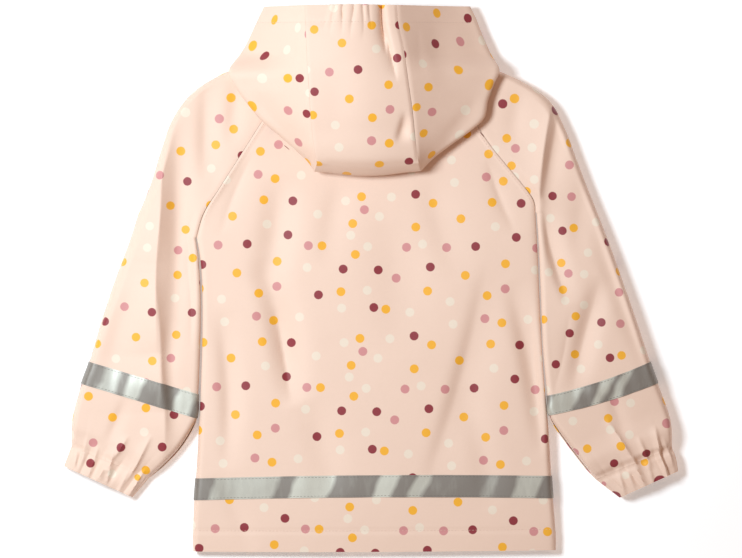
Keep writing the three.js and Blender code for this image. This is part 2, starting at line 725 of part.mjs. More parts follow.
// Snap caps lie under the lapped right front
function makeSnaps() {
  for (let i = 0; i < SNAPS; i++) {
    const cap = new THREE.CylinderGeometry(CAP_RADIUS, CAP_RADIUS, CAP_HEIGHT, CAP_SIDES);
    cap.rotateX(Math.PI / 2);
    cap.translate(0, LOWEST_CAP + CAP_SPACING * i, CAP_HEIGHT / 2);
    addMesh("snap_" + (i + 1), cap, "snap");
  }
}

makeBack();
for (const side of ["left", "right"]) {
  makeFront(side);
  makeSleeve(side);
  makeCuff(side);
}
makeHood();
makeSnaps();

const middle = new THREE.Box3().setFromObject(coat).getCenter(new THREE.Vector3());
coat.position.set(-middle.x, -middle.y, 0);

export default coat;
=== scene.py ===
"""A toddler raincoat laid on its front: coated cloth with a dot print, gathered cuffs and reflective tape.

The forms are worked out in millimetres, in the same plan as the solids, and made in metres.
"""
import math

import bpy
import numpy as np
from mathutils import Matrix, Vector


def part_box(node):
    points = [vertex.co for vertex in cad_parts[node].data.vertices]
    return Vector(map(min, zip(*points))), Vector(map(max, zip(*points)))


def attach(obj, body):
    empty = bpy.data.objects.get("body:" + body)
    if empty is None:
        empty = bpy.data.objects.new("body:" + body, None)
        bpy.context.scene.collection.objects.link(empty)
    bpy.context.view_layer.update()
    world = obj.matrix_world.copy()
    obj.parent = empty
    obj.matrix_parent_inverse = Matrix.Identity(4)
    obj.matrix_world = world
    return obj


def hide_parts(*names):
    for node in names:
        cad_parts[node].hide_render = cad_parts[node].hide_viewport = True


bl_info = {
    "name": "Toddler Raincoat",
    "version": (1, 0, 0),
    "blender": (4, 5, 0),
    "location": "View3D > Sidebar > Raincoat",
    "description": "Hooded raincoat of coated cloth, laid flat, with a studio stage",
    "category": "Add Mesh",
}

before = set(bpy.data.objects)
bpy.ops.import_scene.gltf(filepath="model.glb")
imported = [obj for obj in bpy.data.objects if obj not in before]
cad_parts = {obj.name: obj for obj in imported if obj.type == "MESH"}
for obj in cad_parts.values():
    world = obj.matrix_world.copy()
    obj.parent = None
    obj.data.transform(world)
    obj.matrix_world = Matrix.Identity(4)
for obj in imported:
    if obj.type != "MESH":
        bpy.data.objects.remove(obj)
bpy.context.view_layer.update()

MM = 0.001
SEAM = 0.3
TAPE = 0.4
TAPE_LIFT = SEAM + TAPE
SIDE_SEAM_HEIGHT = 9.0
INNER_LIFT = 9.5  # the seams between body and sleeves ride higher on the fold
EDGE_ROLL = 8.0
UPPER_EDGE_ROLL = 5.5
MOST_ROLL = 0.3
ROLL_STEPS = 6
RAGLAN_RISE = 0.28
LAP = 15.0
LAP_RAMP = 20.0
LAP_MARGIN = 1.0
CAP_RADIUS = 5.5
CAP_HEIGHT = 1.0
LOWEST_CAP = -225.0
SNAPS = 5
RIGHT_LAP = CAP_HEIGHT + SEAM
CLOTH_WALL = 1.4  # thickness of the solids that stand for cloth
LEFT_LAP = RIGHT_LAP + CLOTH_WALL + SEAM
NECK_BOW = -6.0
NECK_HEIGHT = 20.0
FRONT_NECK_DROP = 13.0
FRONT_NECK_BOW = -2.0
BACK_DOME = 1.5
FOLD_TAPER = 0.15
FOLD_FADE = 10.0
UNDER_STEP = 6.0  # point spacing of the panels that lie on the surface
CREASE_BOW = 0.025  # how far a crease bows, as a share of its length


def table(columns, rows):
    """Columns of numbers under their names."""
    return dict(zip(columns.split(), np.array(rows, float).T))


# Side edges of the body from the hem to the underarm, with the height of the laid back
BODY = table("left_x left_y right_x right_y top bow", [
    [-177.6, -271.6, 184.4, -270.2, 14, -1],
    [-178.2, -251, 184.2, -250, 16, 0],
    [-177, -220.3, 181.8, -218.3, 18, 2],
    [-175.4, -198.6, 180.2, -196, 19, 2],
    [-172.3, -150, 176.8, -145, 20, 0],
    [-169.5, -92, 172, -92, 21, 0],
    [-168.5, -34, 168.6, -30, 21.5, 0],
    [-169.8, 12, 166.3, 24, 21.5, 0],
    [-174.2, 42, 164, 67, 21, 0],
])
# Raglan seams from the underarm to the neck, with the edge of the arm beside them
RAGLAN = table("left_x left_y right_x right_y arm_left_x arm_left_y arm_right_x arm_right_y", [
    [-174.2, 42, 164, 67, -234, 61.5, 227, 64.5],
    [-167, 66, 161.5, 80, -220.5, 95, 215, 94.5],
    [-151.8, 90.5, 148, 98.5, -210.5, 127, 204, 123.5],
    [-135.2, 116.5, 133, 116.5, -198.5, 160, 193.5, 151],
    [-118.6, 142.6, 117.5, 136, -177.5, 187.5, 178, 178.5],
    [-102, 168.6, 103, 158, -143, 208, 149, 198.5],
    [-86, 192.5, 87.5, 185, -109, 216.5, 113, 213],
    [-70, 215.5, 72, 215.5, -83, 219, 82, 217.5],
])
# Sleeves from the cuff seam to the underarm: the outer and the inner laid edge
SLEEVE_COLUMNS = "outer_x outer_y inner_x inner_y top bow"
SLEEVE = {
    "left": table(SLEEVE_COLUMNS, [
        [-299.5, -166.5, -222, -198.5, 18, 0],
        [-298.5, -139, -193, -170, 21, 0],
        [-289.4, -104, -174.4, -138.5, 23, 0],
        [-281.6, -82, -172.4, -114.5, 24, 0],
        [-268, -36, -170.8, -76, 24, 0],
        [-252.5, 9, -169.8, -22, 23, 0],
        [-241.5, 38, -172, 18, 22, 0],
        [-234, 61.5, -175.2, 41, 21, 0],
    ]),
    "right": table(SLEEVE_COLUMNS, [
        [300.5, -167.5, 224, -199.5, 18, 0],
        [299, -140, 199, -167.5, 21, -1],
        [286.3, -103.4, 177.6, -135.5, 23, -3],
        [278.7, -82.1, 175.6, -116, 24, -3],
        [261, -29, 171.2, -68, 24, 0],
        [243, 22, 169, -10, 23, 0],
        [234.5, 45, 167, 36, 22, 0],
        [227, 64.5, 165, 66, 21, 0],
    ]),
}
BODY_LIFT_ROWS = (3.0, 5.0)  # rows of a table over which the inner seams come to ride higher
SLEEVE_LIFT_ROWS = (0.6, 2.6)
SLEEVE_FINENESS = 0.62  # share of the mesh size that the upper sleeves take, for their pleats
TAPE_STATIONS = (2, 3)  # the reflective tape lies between these rows of a table
# Cuffs: the laid edge of the open end, outer and inner corner
CUFF = {
    "left": ((-306.8, -186.4), (-238, -217.5)),
    "right": ((306.4, -191.5), (248, -217.8)),
}
CUFF_HALF_HEIGHT = 8.5
CUFF_OVAL = (0.8, 0.7)
CUFF_GATHERS = 18
CUFF_RISE = 2.0
CUFF_GAP = 0.12
CUFF_BLEND = 22.0  # length over which the sleeve takes the form of the cuff
BALLOON = {"left": 1.4, "right": 3.2}
ELASTIC_DEPTH = {"left": 0.1, "right": 0.7}
PEEP = 1.8  # how far the under layer shows beside the wrist
CUFF_ROWS = 16
SPOKES_PER_GATHER = 10
# Hood side panels from the face edge to the fold at the back of the head
HOOD_COLUMNS = "seam_x seam_y seam_z nose_x nose_y nose_z base end_x end_y end_z"
HOOD = {
    "left": table(HOOD_COLUMNS, [
        [-66, 272.5, 70, -107, 272.5, 14, 0, -1.6, 205.4, 0],
        [-65.7, 260.5, 72, -112.5, 261.5, 14, 0, -26, 208.4, 0],
        [-65, 247.5, 74, -118.5, 248.5, 14, 0, -51, 213.4, 0],
        [-64.4, 234.5, 75, -124.5, 235.5, 15, 0, -70, 219.6, 0],
        [-64, 222.5, 75, -132, 223.5, 16, 0, -80, 219.8, 0],
        [-63, 207.5, 75, -142, 208, 30, 24, -80.5, 218, 21.5],
        [-62, 191.5, 74, -135, 191.5, 31, 24, -69, 214.5, 21.5],
        [-61, 175.5, 72, -123, 174.5, 31, 24, -52, 210.5, 21.5],
        [-60, 159.5, 69, -109, 158, 31, 24, -52, 191.5, 24],
        [-58.5, 144.5, 65, -92, 143.5, 31.5, 24, -52.5, 171.5, 24],
        [-57, 131.5, 62, -77, 130, 32.5, 24, -53, 149.5, 24],
        [-55.2, 121.5, 58, -64, 118, 33.5, 24.5, -53.5, 129.5, 24.5],
        [-54, 115.5, 53.5, -56.5, 107.5, 36, 25, -54, 116.5, 25],
    ]),
    "right": table(HOOD_COLUMNS, [
        [26, 272.5, 70, 99, 272.5, 14, 0, 1.6, 205.4, 0],
        [26.5, 260.5, 72, 104.5, 261.5, 14, 0, 26, 208.4, 0],
        [28.5, 247.5, 74, 109.5, 248.5, 14, 0, 51, 213.4, 0],
        [31.5, 234.5, 75, 115, 235.5, 15, 0, 70, 219.6, 0],
        [33.5, 222.5, 75, 120.5, 223.5, 16, 0, 79.5, 219.8, 0],
        [35.5, 207.5, 75, 128, 209, 30, 24, 80, 218, 21.5],
        [37.5, 193.5, 74, 122, 193.5, 31, 24, 70, 214.5, 21.5],
        [39.5, 179.5, 72, 116.5, 178.5, 31, 24, 52, 210.5, 21.5],
        [41.5, 164.5, 69, 113, 161.5, 31, 24, 51.5, 191.5, 24],
        [43, 149.5, 65, 101, 149.5, 31.5, 24, 50.5, 171.5, 24],
        [44.5, 134.5, 62, 81, 135, 32.5, 24, 49.5, 149.5, 24],
        [46, 122.5, 58, 63, 121.5, 33.5, 24.5, 48.5, 129.5, 24.5],
        [47, 115.5, 53.5, 49.5, 108, 36, 25, 47, 116.5, 25],
    ]),
}
NAPE_STATION = 7
# Loose ends of dark thread beside the hood
THREAD_ENDS = {"left": ((-87.5, 134.5), (-81, 129)), "right": ((107.5, 148), (113.5, 141))}
THREAD_END = 6.5
THREAD_END_LIFT = 0.9
HOOD_ROW_STEPS = 5
HOOD_OVER_STEPS = 34
HOOD_UNDER_STEPS = 12
CENTRE_COLUMNS = 96
HOOD_ROLL = 5.0
MOST_HOOD_ROLL = 0.6
HOOD_SHOULDER = 4.5
MOST_HOOD_SHOULDER = 0.4
HOOD_SLOPE_POWER = 1.3
HOOD_DOME = 6.0
HOOD_SEAM = {"left": 0.1, "right": 0.4}
SEAM_GROOVE = {"left": 0.5, "right": 1.3}
SEAM_GROOVE_HALF = 1.5
FOLD_BULGE = 6.0
FOLD_BULGE_REACH = 45.0
FOLD_SOFTNESS = 8.0
# Creases: the run of each one in plan, its half width to the left and to the right, and its depth.
# A negative depth is a ridge; sharp is 1 for a crease with a keen bottom and 0 for a soft trough.
CREASE_COLUMNS = "x0 y0 x1 y1 left right depth sharp"
BACK_CREASES = table(CREASE_COLUMNS, [
    [-91, 92, -104, 0, 15, 17, 5.6, 0],
    [-104, 6, -81, -110, 12, 16, 7.7, 0],
    [-95, -38, -82, -112, 3, 8, 3.1, 1],
    [-148, -48, -143, -172, 8, 12, 4.2, 0],
    [144, -20, 169, -155, 9, 13, 5.6, 0],
    [112, -10, 64, -185, 9, 26, 4.5, 0],
    [-122, 118, -148, 52, 8, 8, 2.2, 1],
    [118, 112, 141, 52, 6, 10, 3.1, 1],
    [-60, -130, -36, -205, 16, 16, 2.5, 0],
    [18, 70, 30, -60, 24, 30, 2.5, 0],
    [96, -120, 120, -215, 14, 14, 2.2, 0],
    [-150, -200, -120, -262, 10, 10, 1.7, 0],
    [-30, 96, -44, 20, 12, 16, 2.0, 0],
    [60, 96, 84, 10, 14, 18, 2.2, 0],
])
SLEEVE_CREASES = {
    "left": table(CREASE_COLUMNS, [
        [-203, 160, -211, 34, 30, 10, -7.5, 0.85],
        [-209, 76, -214, -58, 30, 9, -8.2, 0.9],
        [-214, -10, -209, -116, 28, 8, -8.2, 0.9],
        [-209, -86, -206, -172, 24, 7, -7.0, 0.85],
        [-194, 134, -199, -60, 10, 14, 5.0, 0],
        [-203, -50, -200, -140, 6, 9, 3.0, 0],
        [-164, 190, -165, 108, 8, 13, 3.4, 0],
        [-134, 196, -140, 140, 8, 10, 2.2, 0],
        [-236, -10, -262, -96, 10, 14, 1.8, 0],
        [-184, 20, -180, -60, 5, 5, 1.2, 1],
        [-176, 60, -182, 0, 6, 6, 1.4, 0],
    ]),
    "right": table(CREASE_COLUMNS, [
        [184, 192, 167, 66, 18, 5, -7.0, 0.9],
        [190, 180, 173, 84, 5, 12, 3.0, 0],
        [172, 66, 193, -14, 5, 12, 5.5, 0.2],
        [226, -10, 203, -102, 9, 12, 6.5, 0.2],
        [224, 48, 272, -82, 8, 12, 2.2, 0],
        [148, 186, 142, 140, 10, 10, 1.6, 0],
        [197, -40, 184, -106, 6, 8, 1.6, 1],
        [212, 96, 206, 30, 10, 12, 1.6, 0],
    ]),
}
# Creases of the panels that lie on the surface stand up as soft ridges
FRONT_CREASES = {
    "left": table(CREASE_COLUMNS, [
        [-110, 60, -98, -120, 13, 17, 2.2, 0],
        [-140, -20, -128, -150, 9, 12, 1.6, 0],
        [-60, 120, -78, 20, 10, 15, 1.8, 0],
    ]),
    "right": table(CREASE_COLUMNS, [
        [96, 80, 112, -140, 17, 14, 2.2, 0],
        [66, -60, 52, -200, 10, 14, 1.5, 0],
        [118, 120, 130, 50, 8, 11, 1.8, 0],
    ]),
}
SLEEVE_FRONT_CREASES = {
    "left": table(CREASE_COLUMNS, [
        [-206, 130, -214, -40, 8, 12, 2.4, 0],
        [-232, -20, -250, -120, 9, 12, 1.6, 0],
    ]),
    "right": table(CREASE_COLUMNS, [
        [186, 140, 196, -20, 11, 8, 2.4, 0],
        [228, -10, 244, -110, 12, 8, 1.8, 0],
    ]),
}
# Pleats that the elastic draws into the sleeve ends and the cuffs
WRIST_CREASES = {
    "left": table(CREASE_COLUMNS, [
        [-264.5, -209, -257, -172, 4.5, 2.0, -4.7, 0.9],
        [-257, -178, -244, -159, 4.5, 2.2, -3.6, 0.9],
        [-246, -203, -222, -161, 4.5, 2.0, -4.7, 0.9],
        [-243, -216, -228, -193, 4.5, 1.6, -4.1, 0.9],
        [-277, -203, -261, -185, 4.5, 1.7, -3.6, 0.9],
        [-283, -199, -273, -170, 4.5, 1.7, -3.6, 0.9],
        [-296, -194, -293, -172, 4.5, 1.6, -3.4, 0.9],
        [-289, -184, -284, -160, 4.5, 1.8, -2.2, 0.9],
        [-252, -212, -240, -188, 4.5, 1.4, -3.1, 0.9],
        [-270, -206, -266, -176, 4.5, 1.4, -2.3, 0.9],
        [-262, -160, -246, -122, 5, 8, 1.8, 0],
    ]),
    "right": table(CREASE_COLUMNS, [
        [275, -209, 262, -178, 4.5, 1.8, -4.7, 0.9],
        [264, -184, 238, -144, 4.5, 2.4, -4.3, 0.9],
        [268, -160, 279, -186, 4.5, 1.8, -3.6, 0.9],
        [284, -150, 288, -178, 4.5, 1.7, -4.7, 0.9],
        [287, -174, 297, -201, 4.5, 1.6, -4.3, 0.9],
        [292, -160, 300, -184, 4.5, 1.6, -3.6, 0.9],
        [301, -166, 306, -192, 4.5, 1.4, -2.7, 0.9],
        [254, -214, 247, -190, 4.5, 1.6, -2.6, 0.9],
        [264, -211, 256, -186, 4.5, 1.6, -2.6, 0.9],
        [283, -205, 276, -184, 4.5, 1.4, -2.7, 0.9],
        [252, -150, 238, -112, 6, 8, 1.8, 0],
    ]),
}
HOOD_CREASES = {
    "left": table(CREASE_COLUMNS, [
        [-90, 246, -104, 196, 12, 16, 2.4, 0],
        [-72, 262, -76, 214, 5, 8, 1.2, 1],
        [-112, 180, -84, 146, 7, 9, 1.6, 0],
    ]),
    "right": table(CREASE_COLUMNS, [
        [62, 258, 76, 196, 12, 16, 2.4, 0],
        [46, 250, 50, 206, 5, 8, 1.2, 1],
        [104, 176, 72, 140, 7, 9, 1.6, 0],
    ]),
}
CROWN_CREASES = table(CREASE_COLUMNS, [
    [9.5, 290, 14.0, 232, 2.6, 1.5, 8.0, 1],
    [9.5, 284, 14.0, 234, 9, 4, 2.0, 0],
    [13.5, 250, 24, 204, 6, 2.2, 5.0, 1],
    [34, 162, 27, 139, 3.5, 8, 4.6, 0],
    [-40, 210, -30, 150, 16, 18, 1.6, 0],
])
# Gathers of the brow: each trough at the edge, how far it runs down, how far it turns and how deep it is
BROW = table("x reach lean depth", [
    [-42, 20, -3, 0.3],
    [-35.5, 38, -6, 0.9],
    [-27, 28, -3, 1.0],
    [-17.5, 42, -3, 1.0],
    [-7.5, 34, -2, 1.0],
    [-2, 24, 1, 0.7],
    [9.5, 40, 5, 0.4],
])
BROW_RISE = 3.6
BROW_WAVER = 0.9
BROW_EDGE = 272.5
CASING_DROP = 18.0  # stitch line of the face casing, below the edge
CASING_GROOVE = 0.5
CASING_GROOVE_HALF = 1.4
# The hem's and the seams' low reliefs: heights, depths and half widths
HEM_WELT = 0.35
HEM_GROOVE = 0.45
HEM_GROOVE_HALF = 1.3
RAGLAN_WELT = 0.5
RAGLAN_WELT_WIDTH = 3.6
RAGLAN_STITCH = 3.0  # distance of the topstitching from the raglan seam
RAGLAN_STITCH_START = 0.25
ARMHOLE_DIP = 0.35
ARMHOLE_DIP_HALF = 1.6

# A stitch along its length: the place of each section, and its width and height beside the fullest one
STITCH_FORM = ((0.0, 0.35, 0.0), (0.3, 1.0, 1.0), (0.7, 1.0, 1.0), (1.0, 0.35, 0.0))
STITCH_SINK = 0.1
STITCH_LIFT = 0.08
TAPE_STITCH = 1.6  # distance of the stitches from the tape's edge

# Streaks of painted highlight on the tape, reflections of light painted into its colour: a place on each, its
# half width and its strength
PAINTED_SHEEN_STREAKS = [
    (-126, -206, 32, 0.70), (-58, -206, 20, 0.95), (15, -206, 9, 1.0), (49, -206, 7, 0.85),
    (118, -206, 6, 0.30), (-150, -206, 4, 0.45), (-265, -112, 9, 0.55), (-238, -112, 8, 0.85),
    (-187, -125, 9, 0.85), (192, -122, 13, 0.75), (231, -112, 4.5, 1.0), (249, -108, 5, 0.8),
]
STREAK_SLANT = 0.42
STREAK_EDGE = 2.6

# The dot print: one repeat, 228 by 141.5 mm, y down from the middle of the back
TILE = (228.0, 141.5)
PRINT_ORIGIN = (-31.0, 32.5)
DOTS = {
    "pink": [(66, 0.6), (106, 0.4), (196, 0), (56, 31.5), (165, 41), (145, 71), (23.5, 105)],
    "burgundy": [
        (135, -1), (3, 23), (38, 23.5), (90, 20), (34, 61), (74.5, 89), (180, 97), (175.5, 131), (206.6, 49),
    ],
    "orange": [
        (209.6, 0), (165, 16), (15, 8.3), (125, 28), (87.5, 44), (1, 45.6), (147, 48), (46, 62.6),
        (162, 75), (92, 97.7), (151, 96.3), (20.5, 92), (120, 113), (12, 119), (75, 121.8),
    ],
    "cream": [
        (110, 54.3), (70, 65.4), (113.3, 76.8), (50.4, 92), (38.6, 111.6), (188, 71.3), (205, 110),
        (154.5, 120.5), (82, 138.8), (195, 21.8), (1.9, 62), (27.2, 44), (4.7, 96.4), (10.2, 130.7),
        (27.2, 0.3),
    ],
}
# Where a panel's print starts and how far it is turned: x and y of the repeat at the panel's first mark
PRINT_PLACE = {
    "back": (2.9, -0.85, 1),
    "front_left": (40, 20, 0),
    "front_right": (150, 70, 0),
    "sleeve_left_back": (127.3, -17.5, -7),
    "sleeve_left_front": (90, 20, 0),
    "sleeve_right_back": (250.8, -30.3, 1),
    "sleeve_right_front": (10, 100, 0),
    "cuff_left": (60, 40, 0),
    "cuff_right": (10, 90, 0),
    "hood_left": (30, 10, 180),
    "hood_right": (-57.3, -179.1, -179),
    "hood_centre": (130.9, -73.8, 3),
}


class RaincoatSizes(bpy.types.PropertyGroup):
    """Sizes of the coat's cloth and sewing."""

    cloth: bpy.props.FloatProperty(
        name="Cloth", description="Thickness of the coated cloth", default=0.0009, unit="LENGTH")
    step: bpy.props.FloatProperty(
        name="Point spacing", description="Spacing of the points of a panel that shows, in millimetres",
        default=2.4, min=2.0, max=12.0)
    dot: bpy.props.FloatProperty(
        name="Dot", description="Radius of a printed dot, in millimetres", default=4.45)
    hem: bpy.props.FloatProperty(
        name="Hem", description="Depth of the turned hem, in millimetres", default=21.0)
    stitch: bpy.props.FloatProperty(
        name="Stitch", description="Length of a stitch, in millimetres", default=2.6)
    stitch_gap: bpy.props.FloatProperty(
        name="Stitch gap", description="Cloth between two stitches, in millimetres", default=0.9)
    thread: bpy.props.FloatProperty(
        name="Thread", description="Width of the sewing thread, in millimetres", default=0.5)


def colour_property(name, description, default):
    return bpy.props.FloatVectorProperty(name=name, description=description, subtype="COLOR", default=default)


class RaincoatColours(bpy.types.PropertyGroup):
    """Colours of the coat."""

    cloth: colour_property("Cloth", "Coated cloth", (0.885, 0.66, 0.53))
    backing: colour_property("Backing", "Knitted back of the cloth", (0.84, 0.66, 0.55))
    cream: colour_property("Cream", "Palest printed dots", (0.87, 0.75, 0.61))
    pink: colour_property("Pink", "Dusty pink dots", (0.66, 0.285, 0.28))
    burgundy: colour_property("Burgundy", "Dark red dots", (0.28, 0.035, 0.045))
    orange: colour_property("Orange", "Orange dots", (0.93, 0.46, 0.035))
    tape: colour_property("Tape", "Reflective tape", (0.27, 0.245, 0.215))
    # Colour of the painted highlights: bright streaks painted on the tape in place of reflected light
    painted_sheen: colour_property("Sheen", "Streaks of sheen on the tape", (0.70, 0.71, 0.62))
    thread: colour_property("Thread", "Sewing thread", (0.84, 0.62, 0.51))
    snap: colour_property("Snap", "Snap caps", (0.88, 0.62, 0.49))
    floor: colour_property("Floor", "Floor under the coat", (0.95, 0.95, 0.95))


def sizes():
    return bpy.context.scene.raincoat_sizes


def colours():
    return bpy.context.scene.raincoat_colours


def smooth(value):
    """A smooth step from 0 to 1."""
    t = np.clip(value, 0, 1)
    return t * t * (3 - 2 * t)


def roll(distance, radius):
    """Height of a rolled edge, from 0 at the edge to 1 where the roll ends."""
    share = np.clip(distance / radius, 0, 1)
    return np.sqrt(1 - (1 - share) ** 2)


def column(stations, key, at):
    """A column of a table as a smooth function of the row number."""
    values = stations[key]
    last = len(values) - 1
    i = np.minimum(np.floor(at).astype(int), last)
    t = at - i
    before, here = values[np.maximum(i - 1, 0)], values[i]
    after, beyond = values[np.minimum(i + 1, last)], values[np.minimum(i + 2, last)]
    leave, arrive = (after - before) / 2, (beyond - here) / 2
    cubic = 2 * here - 2 * after + leave + arrive
    square = -3 * here + 3 * after - 2 * leave - arrive
    return cubic * t**3 + square * t**2 + leave * t + here


def fine_rows(stations, key, step):
    """Row numbers so close that there is a row about every step millimetres."""
    at = [0.0]
    for i, span in enumerate(np.abs(np.diff(stations[key]))):
        count = max(round(span / step), 1)
        at += [i + (k + 1) / count for k in range(count)]
    return np.array(at)


def crease_depth(creases, x, y):
    """Depth of all creases at points of the plan."""
    depth = np.zeros_like(x)
    for x0, y0, x1, y1, left, right, deep, sharp in zip(*creases.values()):
        run_x, run_y = x1 - x0, y1 - y0
        length = math.hypot(run_x, run_y)
        along = ((x - x0) * run_x + (y - y0) * run_y) / length**2
        bend = CREASE_BOW * length * math.sin(length) * np.sin(np.pi * np.clip(along, 0, 1))
        off = ((x - x0) * run_y - (y - y0) * run_x) / length * math.copysign(1, run_y) + bend
        width = np.where(off < 0, left, right)
        ends = np.sin(np.pi * np.clip((along + FOLD_TAPER) / (1 + 2 * FOLD_TAPER), 0, 1))
        soft = np.exp(-((off / width) ** 2))
        keen = np.exp(-np.abs(off) / width)
        depth += deep * ends * (sharp * keen + (1 - sharp) * soft)
    return depth


def undulation(x, y):
    """Slight unevenness of laid cloth."""
    return (
        0.35 * np.sin(x / 31 + 0.4 * np.sin(y / 47)) * np.sin(y / 53 + 1.1)
        + 0.2 * np.sin(x / 17 + y / 23)
    )


class Panel:
    """A grid of points on the outside of a piece of cloth, in millimetres.

    form holds the same points before any fold was laid, so that the print can be set out on it.
    """

    def __init__(self, points, flip, closed=False, steps=None, form=None):
        self.points = points
        self.form = points if form is None else form
        self.flip = flip
        self.closed = closed
        self.steps = steps

    def normals(self):
        p = self.points
        if self.closed:
            across = np.roll(p, -1, axis=1) - np.roll(p, 1, axis=1)
        else:
            across = np.gradient(p, axis=1)
        n = np.cross(across, np.gradient(p, axis=0))
        n /= np.maximum(np.linalg.norm(n, axis=2, keepdims=True), 1e-9)
        return -n if self.flip else n

    def raised(self, relief):
        """The panel with its points moved out by the relief."""
        points = self.points + self.normals() * np.asarray(relief)[..., None]
        return Panel(points, self.flip, self.closed, self.steps, self.form)

    def strip(self, first, last, lift):
        """Some rows of the panel, moved out."""
        moved = self.points + self.normals() * lift
        rows = slice(first, last + 1)
        return Panel(moved[rows], self.flip, self.closed, self.steps[rows])


def row_steps(width, middle, reach):
    """Distances of the points from the start of each row, finer at its rolled ends."""
    radius = np.minimum(reach, width * MOST_ROLL)[:, None]
    edge = 1 - np.cos(np.arange(ROLL_STEPS) / ROLL_STEPS * np.pi / 2)
    run = np.linspace(0, 1, middle + 1)
    width = width[:, None]
    parts = [radius * edge, radius + (width - 2 * radius) * run, (width - radius * edge)[:, ::-1]]
    return np.hstack(parts)


def front_steps(width, middle):
    """Distances across a front, from its rolled side to the edge of the lap."""
    radius = np.minimum(EDGE_ROLL, width * MOST_ROLL)[:, None]
    edge = 1 - np.cos(np.arange(ROLL_STEPS) / ROLL_STEPS * np.pi / 2)
    width = width[:, None]
    ramp_end = width - 2 * LAP - LAP_MARGIN
    ramp_start = ramp_end - LAP_RAMP
    return np.hstack([
        radius * edge,
        radius + (ramp_start - radius) * np.linspace(0, 1, middle + 1),
        ramp_start + LAP_RAMP * np.linspace(0, 1, 9)[1:],
        ramp_end + (width - ramp_end) * np.linspace(0, 1, 6)[1:],
    ])


def laid(rows, steps, creases, upper, flip):
    """One laid panel from its rows' ends in plan, their heights and the cloth between them."""
    span_x, span_y = rows["end_x"] - rows["start_x"], rows["end_y"] - rows["start_y"]
    width = np.hypot(span_x, span_y)
    radius = np.minimum(UPPER_EDGE_ROLL if upper else EDGE_ROLL, width * MOST_ROLL)[:, None]
    share = steps / width[:, None]
    x = rows["start_x"][:, None] + span_x[:, None] * share
    y = rows["start_y"][:, None] + span_y[:, None] * share
    y += rows["bow"][:, None] * 4 * share * (1 - share)
    z = rows["height"](x, share)
    near = np.minimum(steps, width[:, None] - steps)
    inside = smooth(near / FOLD_FADE)
    if upper:
        folds = -(crease_depth(creases, x, y) + undulation(x, y)) * inside
    else:
        folds = crease_depth(creases, x, y) * inside
    start_roll = roll(steps, radius)
    end_roll = 1 if rows.get("end_plain") else roll(width[:, None] - steps, radius)
    form, folded = z, z + folds
    layers = []
    for z in (form, folded):
        z = z + (rows["start_z"][:, None] - z) * (1 - start_roll)
        z = z + (rows["end_z"][:, None] - z) * (1 - end_roll)
        layers.append(np.stack([x, y, z], axis=2))
    return Panel(layers[1], flip, steps=steps, form=layers[0])


def body_rows(step):
    """Rows of the body from the hem to the neck."""
    low = fine_rows(BODY, "left_y", step)
    high = fine_rows(RAGLAN, "left_y", step)[1:]
    share = high / (len(RAGLAN["left_x"]) - 1)
    rows = {key: np.append(column(BODY, key, low), column(RAGLAN, key, high))
            for key in ("left_x", "left_y", "right_x", "right_y")}
    top = BODY["top"][-1]
    rows["top"] = np.append(column(BODY, "top", low), top + (NECK_HEIGHT - top) * share)
    rows["bow"] = np.append(column(BODY, "bow", low), NECK_BOW * share)
    rows["climb"] = np.append(np.zeros_like(low), smooth(share / RAGLAN_RISE))
    rows["share"] = np.append(np.zeros_like(low), share)
    rows["at"] = np.append(low, low[-1] + high)
    rows["lift"] = smooth((rows["at"] - BODY_LIFT_ROWS[0]) / (BODY_LIFT_ROWS[1] - BODY_LIFT_ROWS[0]))
    return rows


def tape_rows(at):
    """First and last row that the tape covers."""
    return [int(np.argmin(np.abs(at - station))) for station in TAPE_STATIONS]


def seam_height(climb, flat, upper, lift=0.0):
    """Height of a seam that climbs from the rolled edge to the flat cloth."""
    low = SIDE_SEAM_HEIGHT + INNER_LIFT * lift + (SEAM / 2 if upper else -SEAM / 2)
    return low + (flat - low) * climb


def hem_relief(panel, hem):
    """The turned hem stands a little proud, with a groove along its stitches."""
    up = panel.points[:, :, 1] - panel.points[0, :, 1]
    welt = HEM_WELT * (1 - smooth((up - hem + 1.5) / 2))
    return welt - HEM_GROOVE * np.exp(-(((up - hem) / HEM_GROOVE_HALF) ** 2))


def raglan_relief(rows, steps, width):
    """The seam allowance under the topstitching, beside the raglan seams."""
    near = np.minimum(steps, width - steps)
    welt = RAGLAN_WELT * smooth(near / 0.8) * (1 - smooth((near - RAGLAN_WELT_WIDTH) / 1.2))
    return welt * rows["climb"][:, None]


def back_panel():
    rows = body_rows(sizes().step)
    flat, climb = rows["top"], rows["climb"]
    seam_z = seam_height(climb, flat, True, rows["lift"])
    ends = {
        "start_x": rows["left_x"] + SEAM / 2, "start_y": rows["left_y"],
        "end_x": rows["right_x"] - SEAM / 2, "end_y": rows["right_y"],
        "start_z": seam_z, "end_z": seam_z, "bow": rows["bow"],
        "height": lambda x, share: flat[:, None] + BACK_DOME * np.sin(np.pi * share) * (1 - climb[:, None]),
    }
    width = np.hypot(ends["end_x"] - ends["start_x"], ends["end_y"] - ends["start_y"])
    steps = row_steps(width, round(max(width) / sizes().step), UPPER_EDGE_ROLL)
    panel = laid(ends, steps, BACK_CREASES, True, False)
    panel = panel.raised(hem_relief(panel, sizes().hem) + raglan_relief(rows, steps, width[:, None]))
    return panel, rows


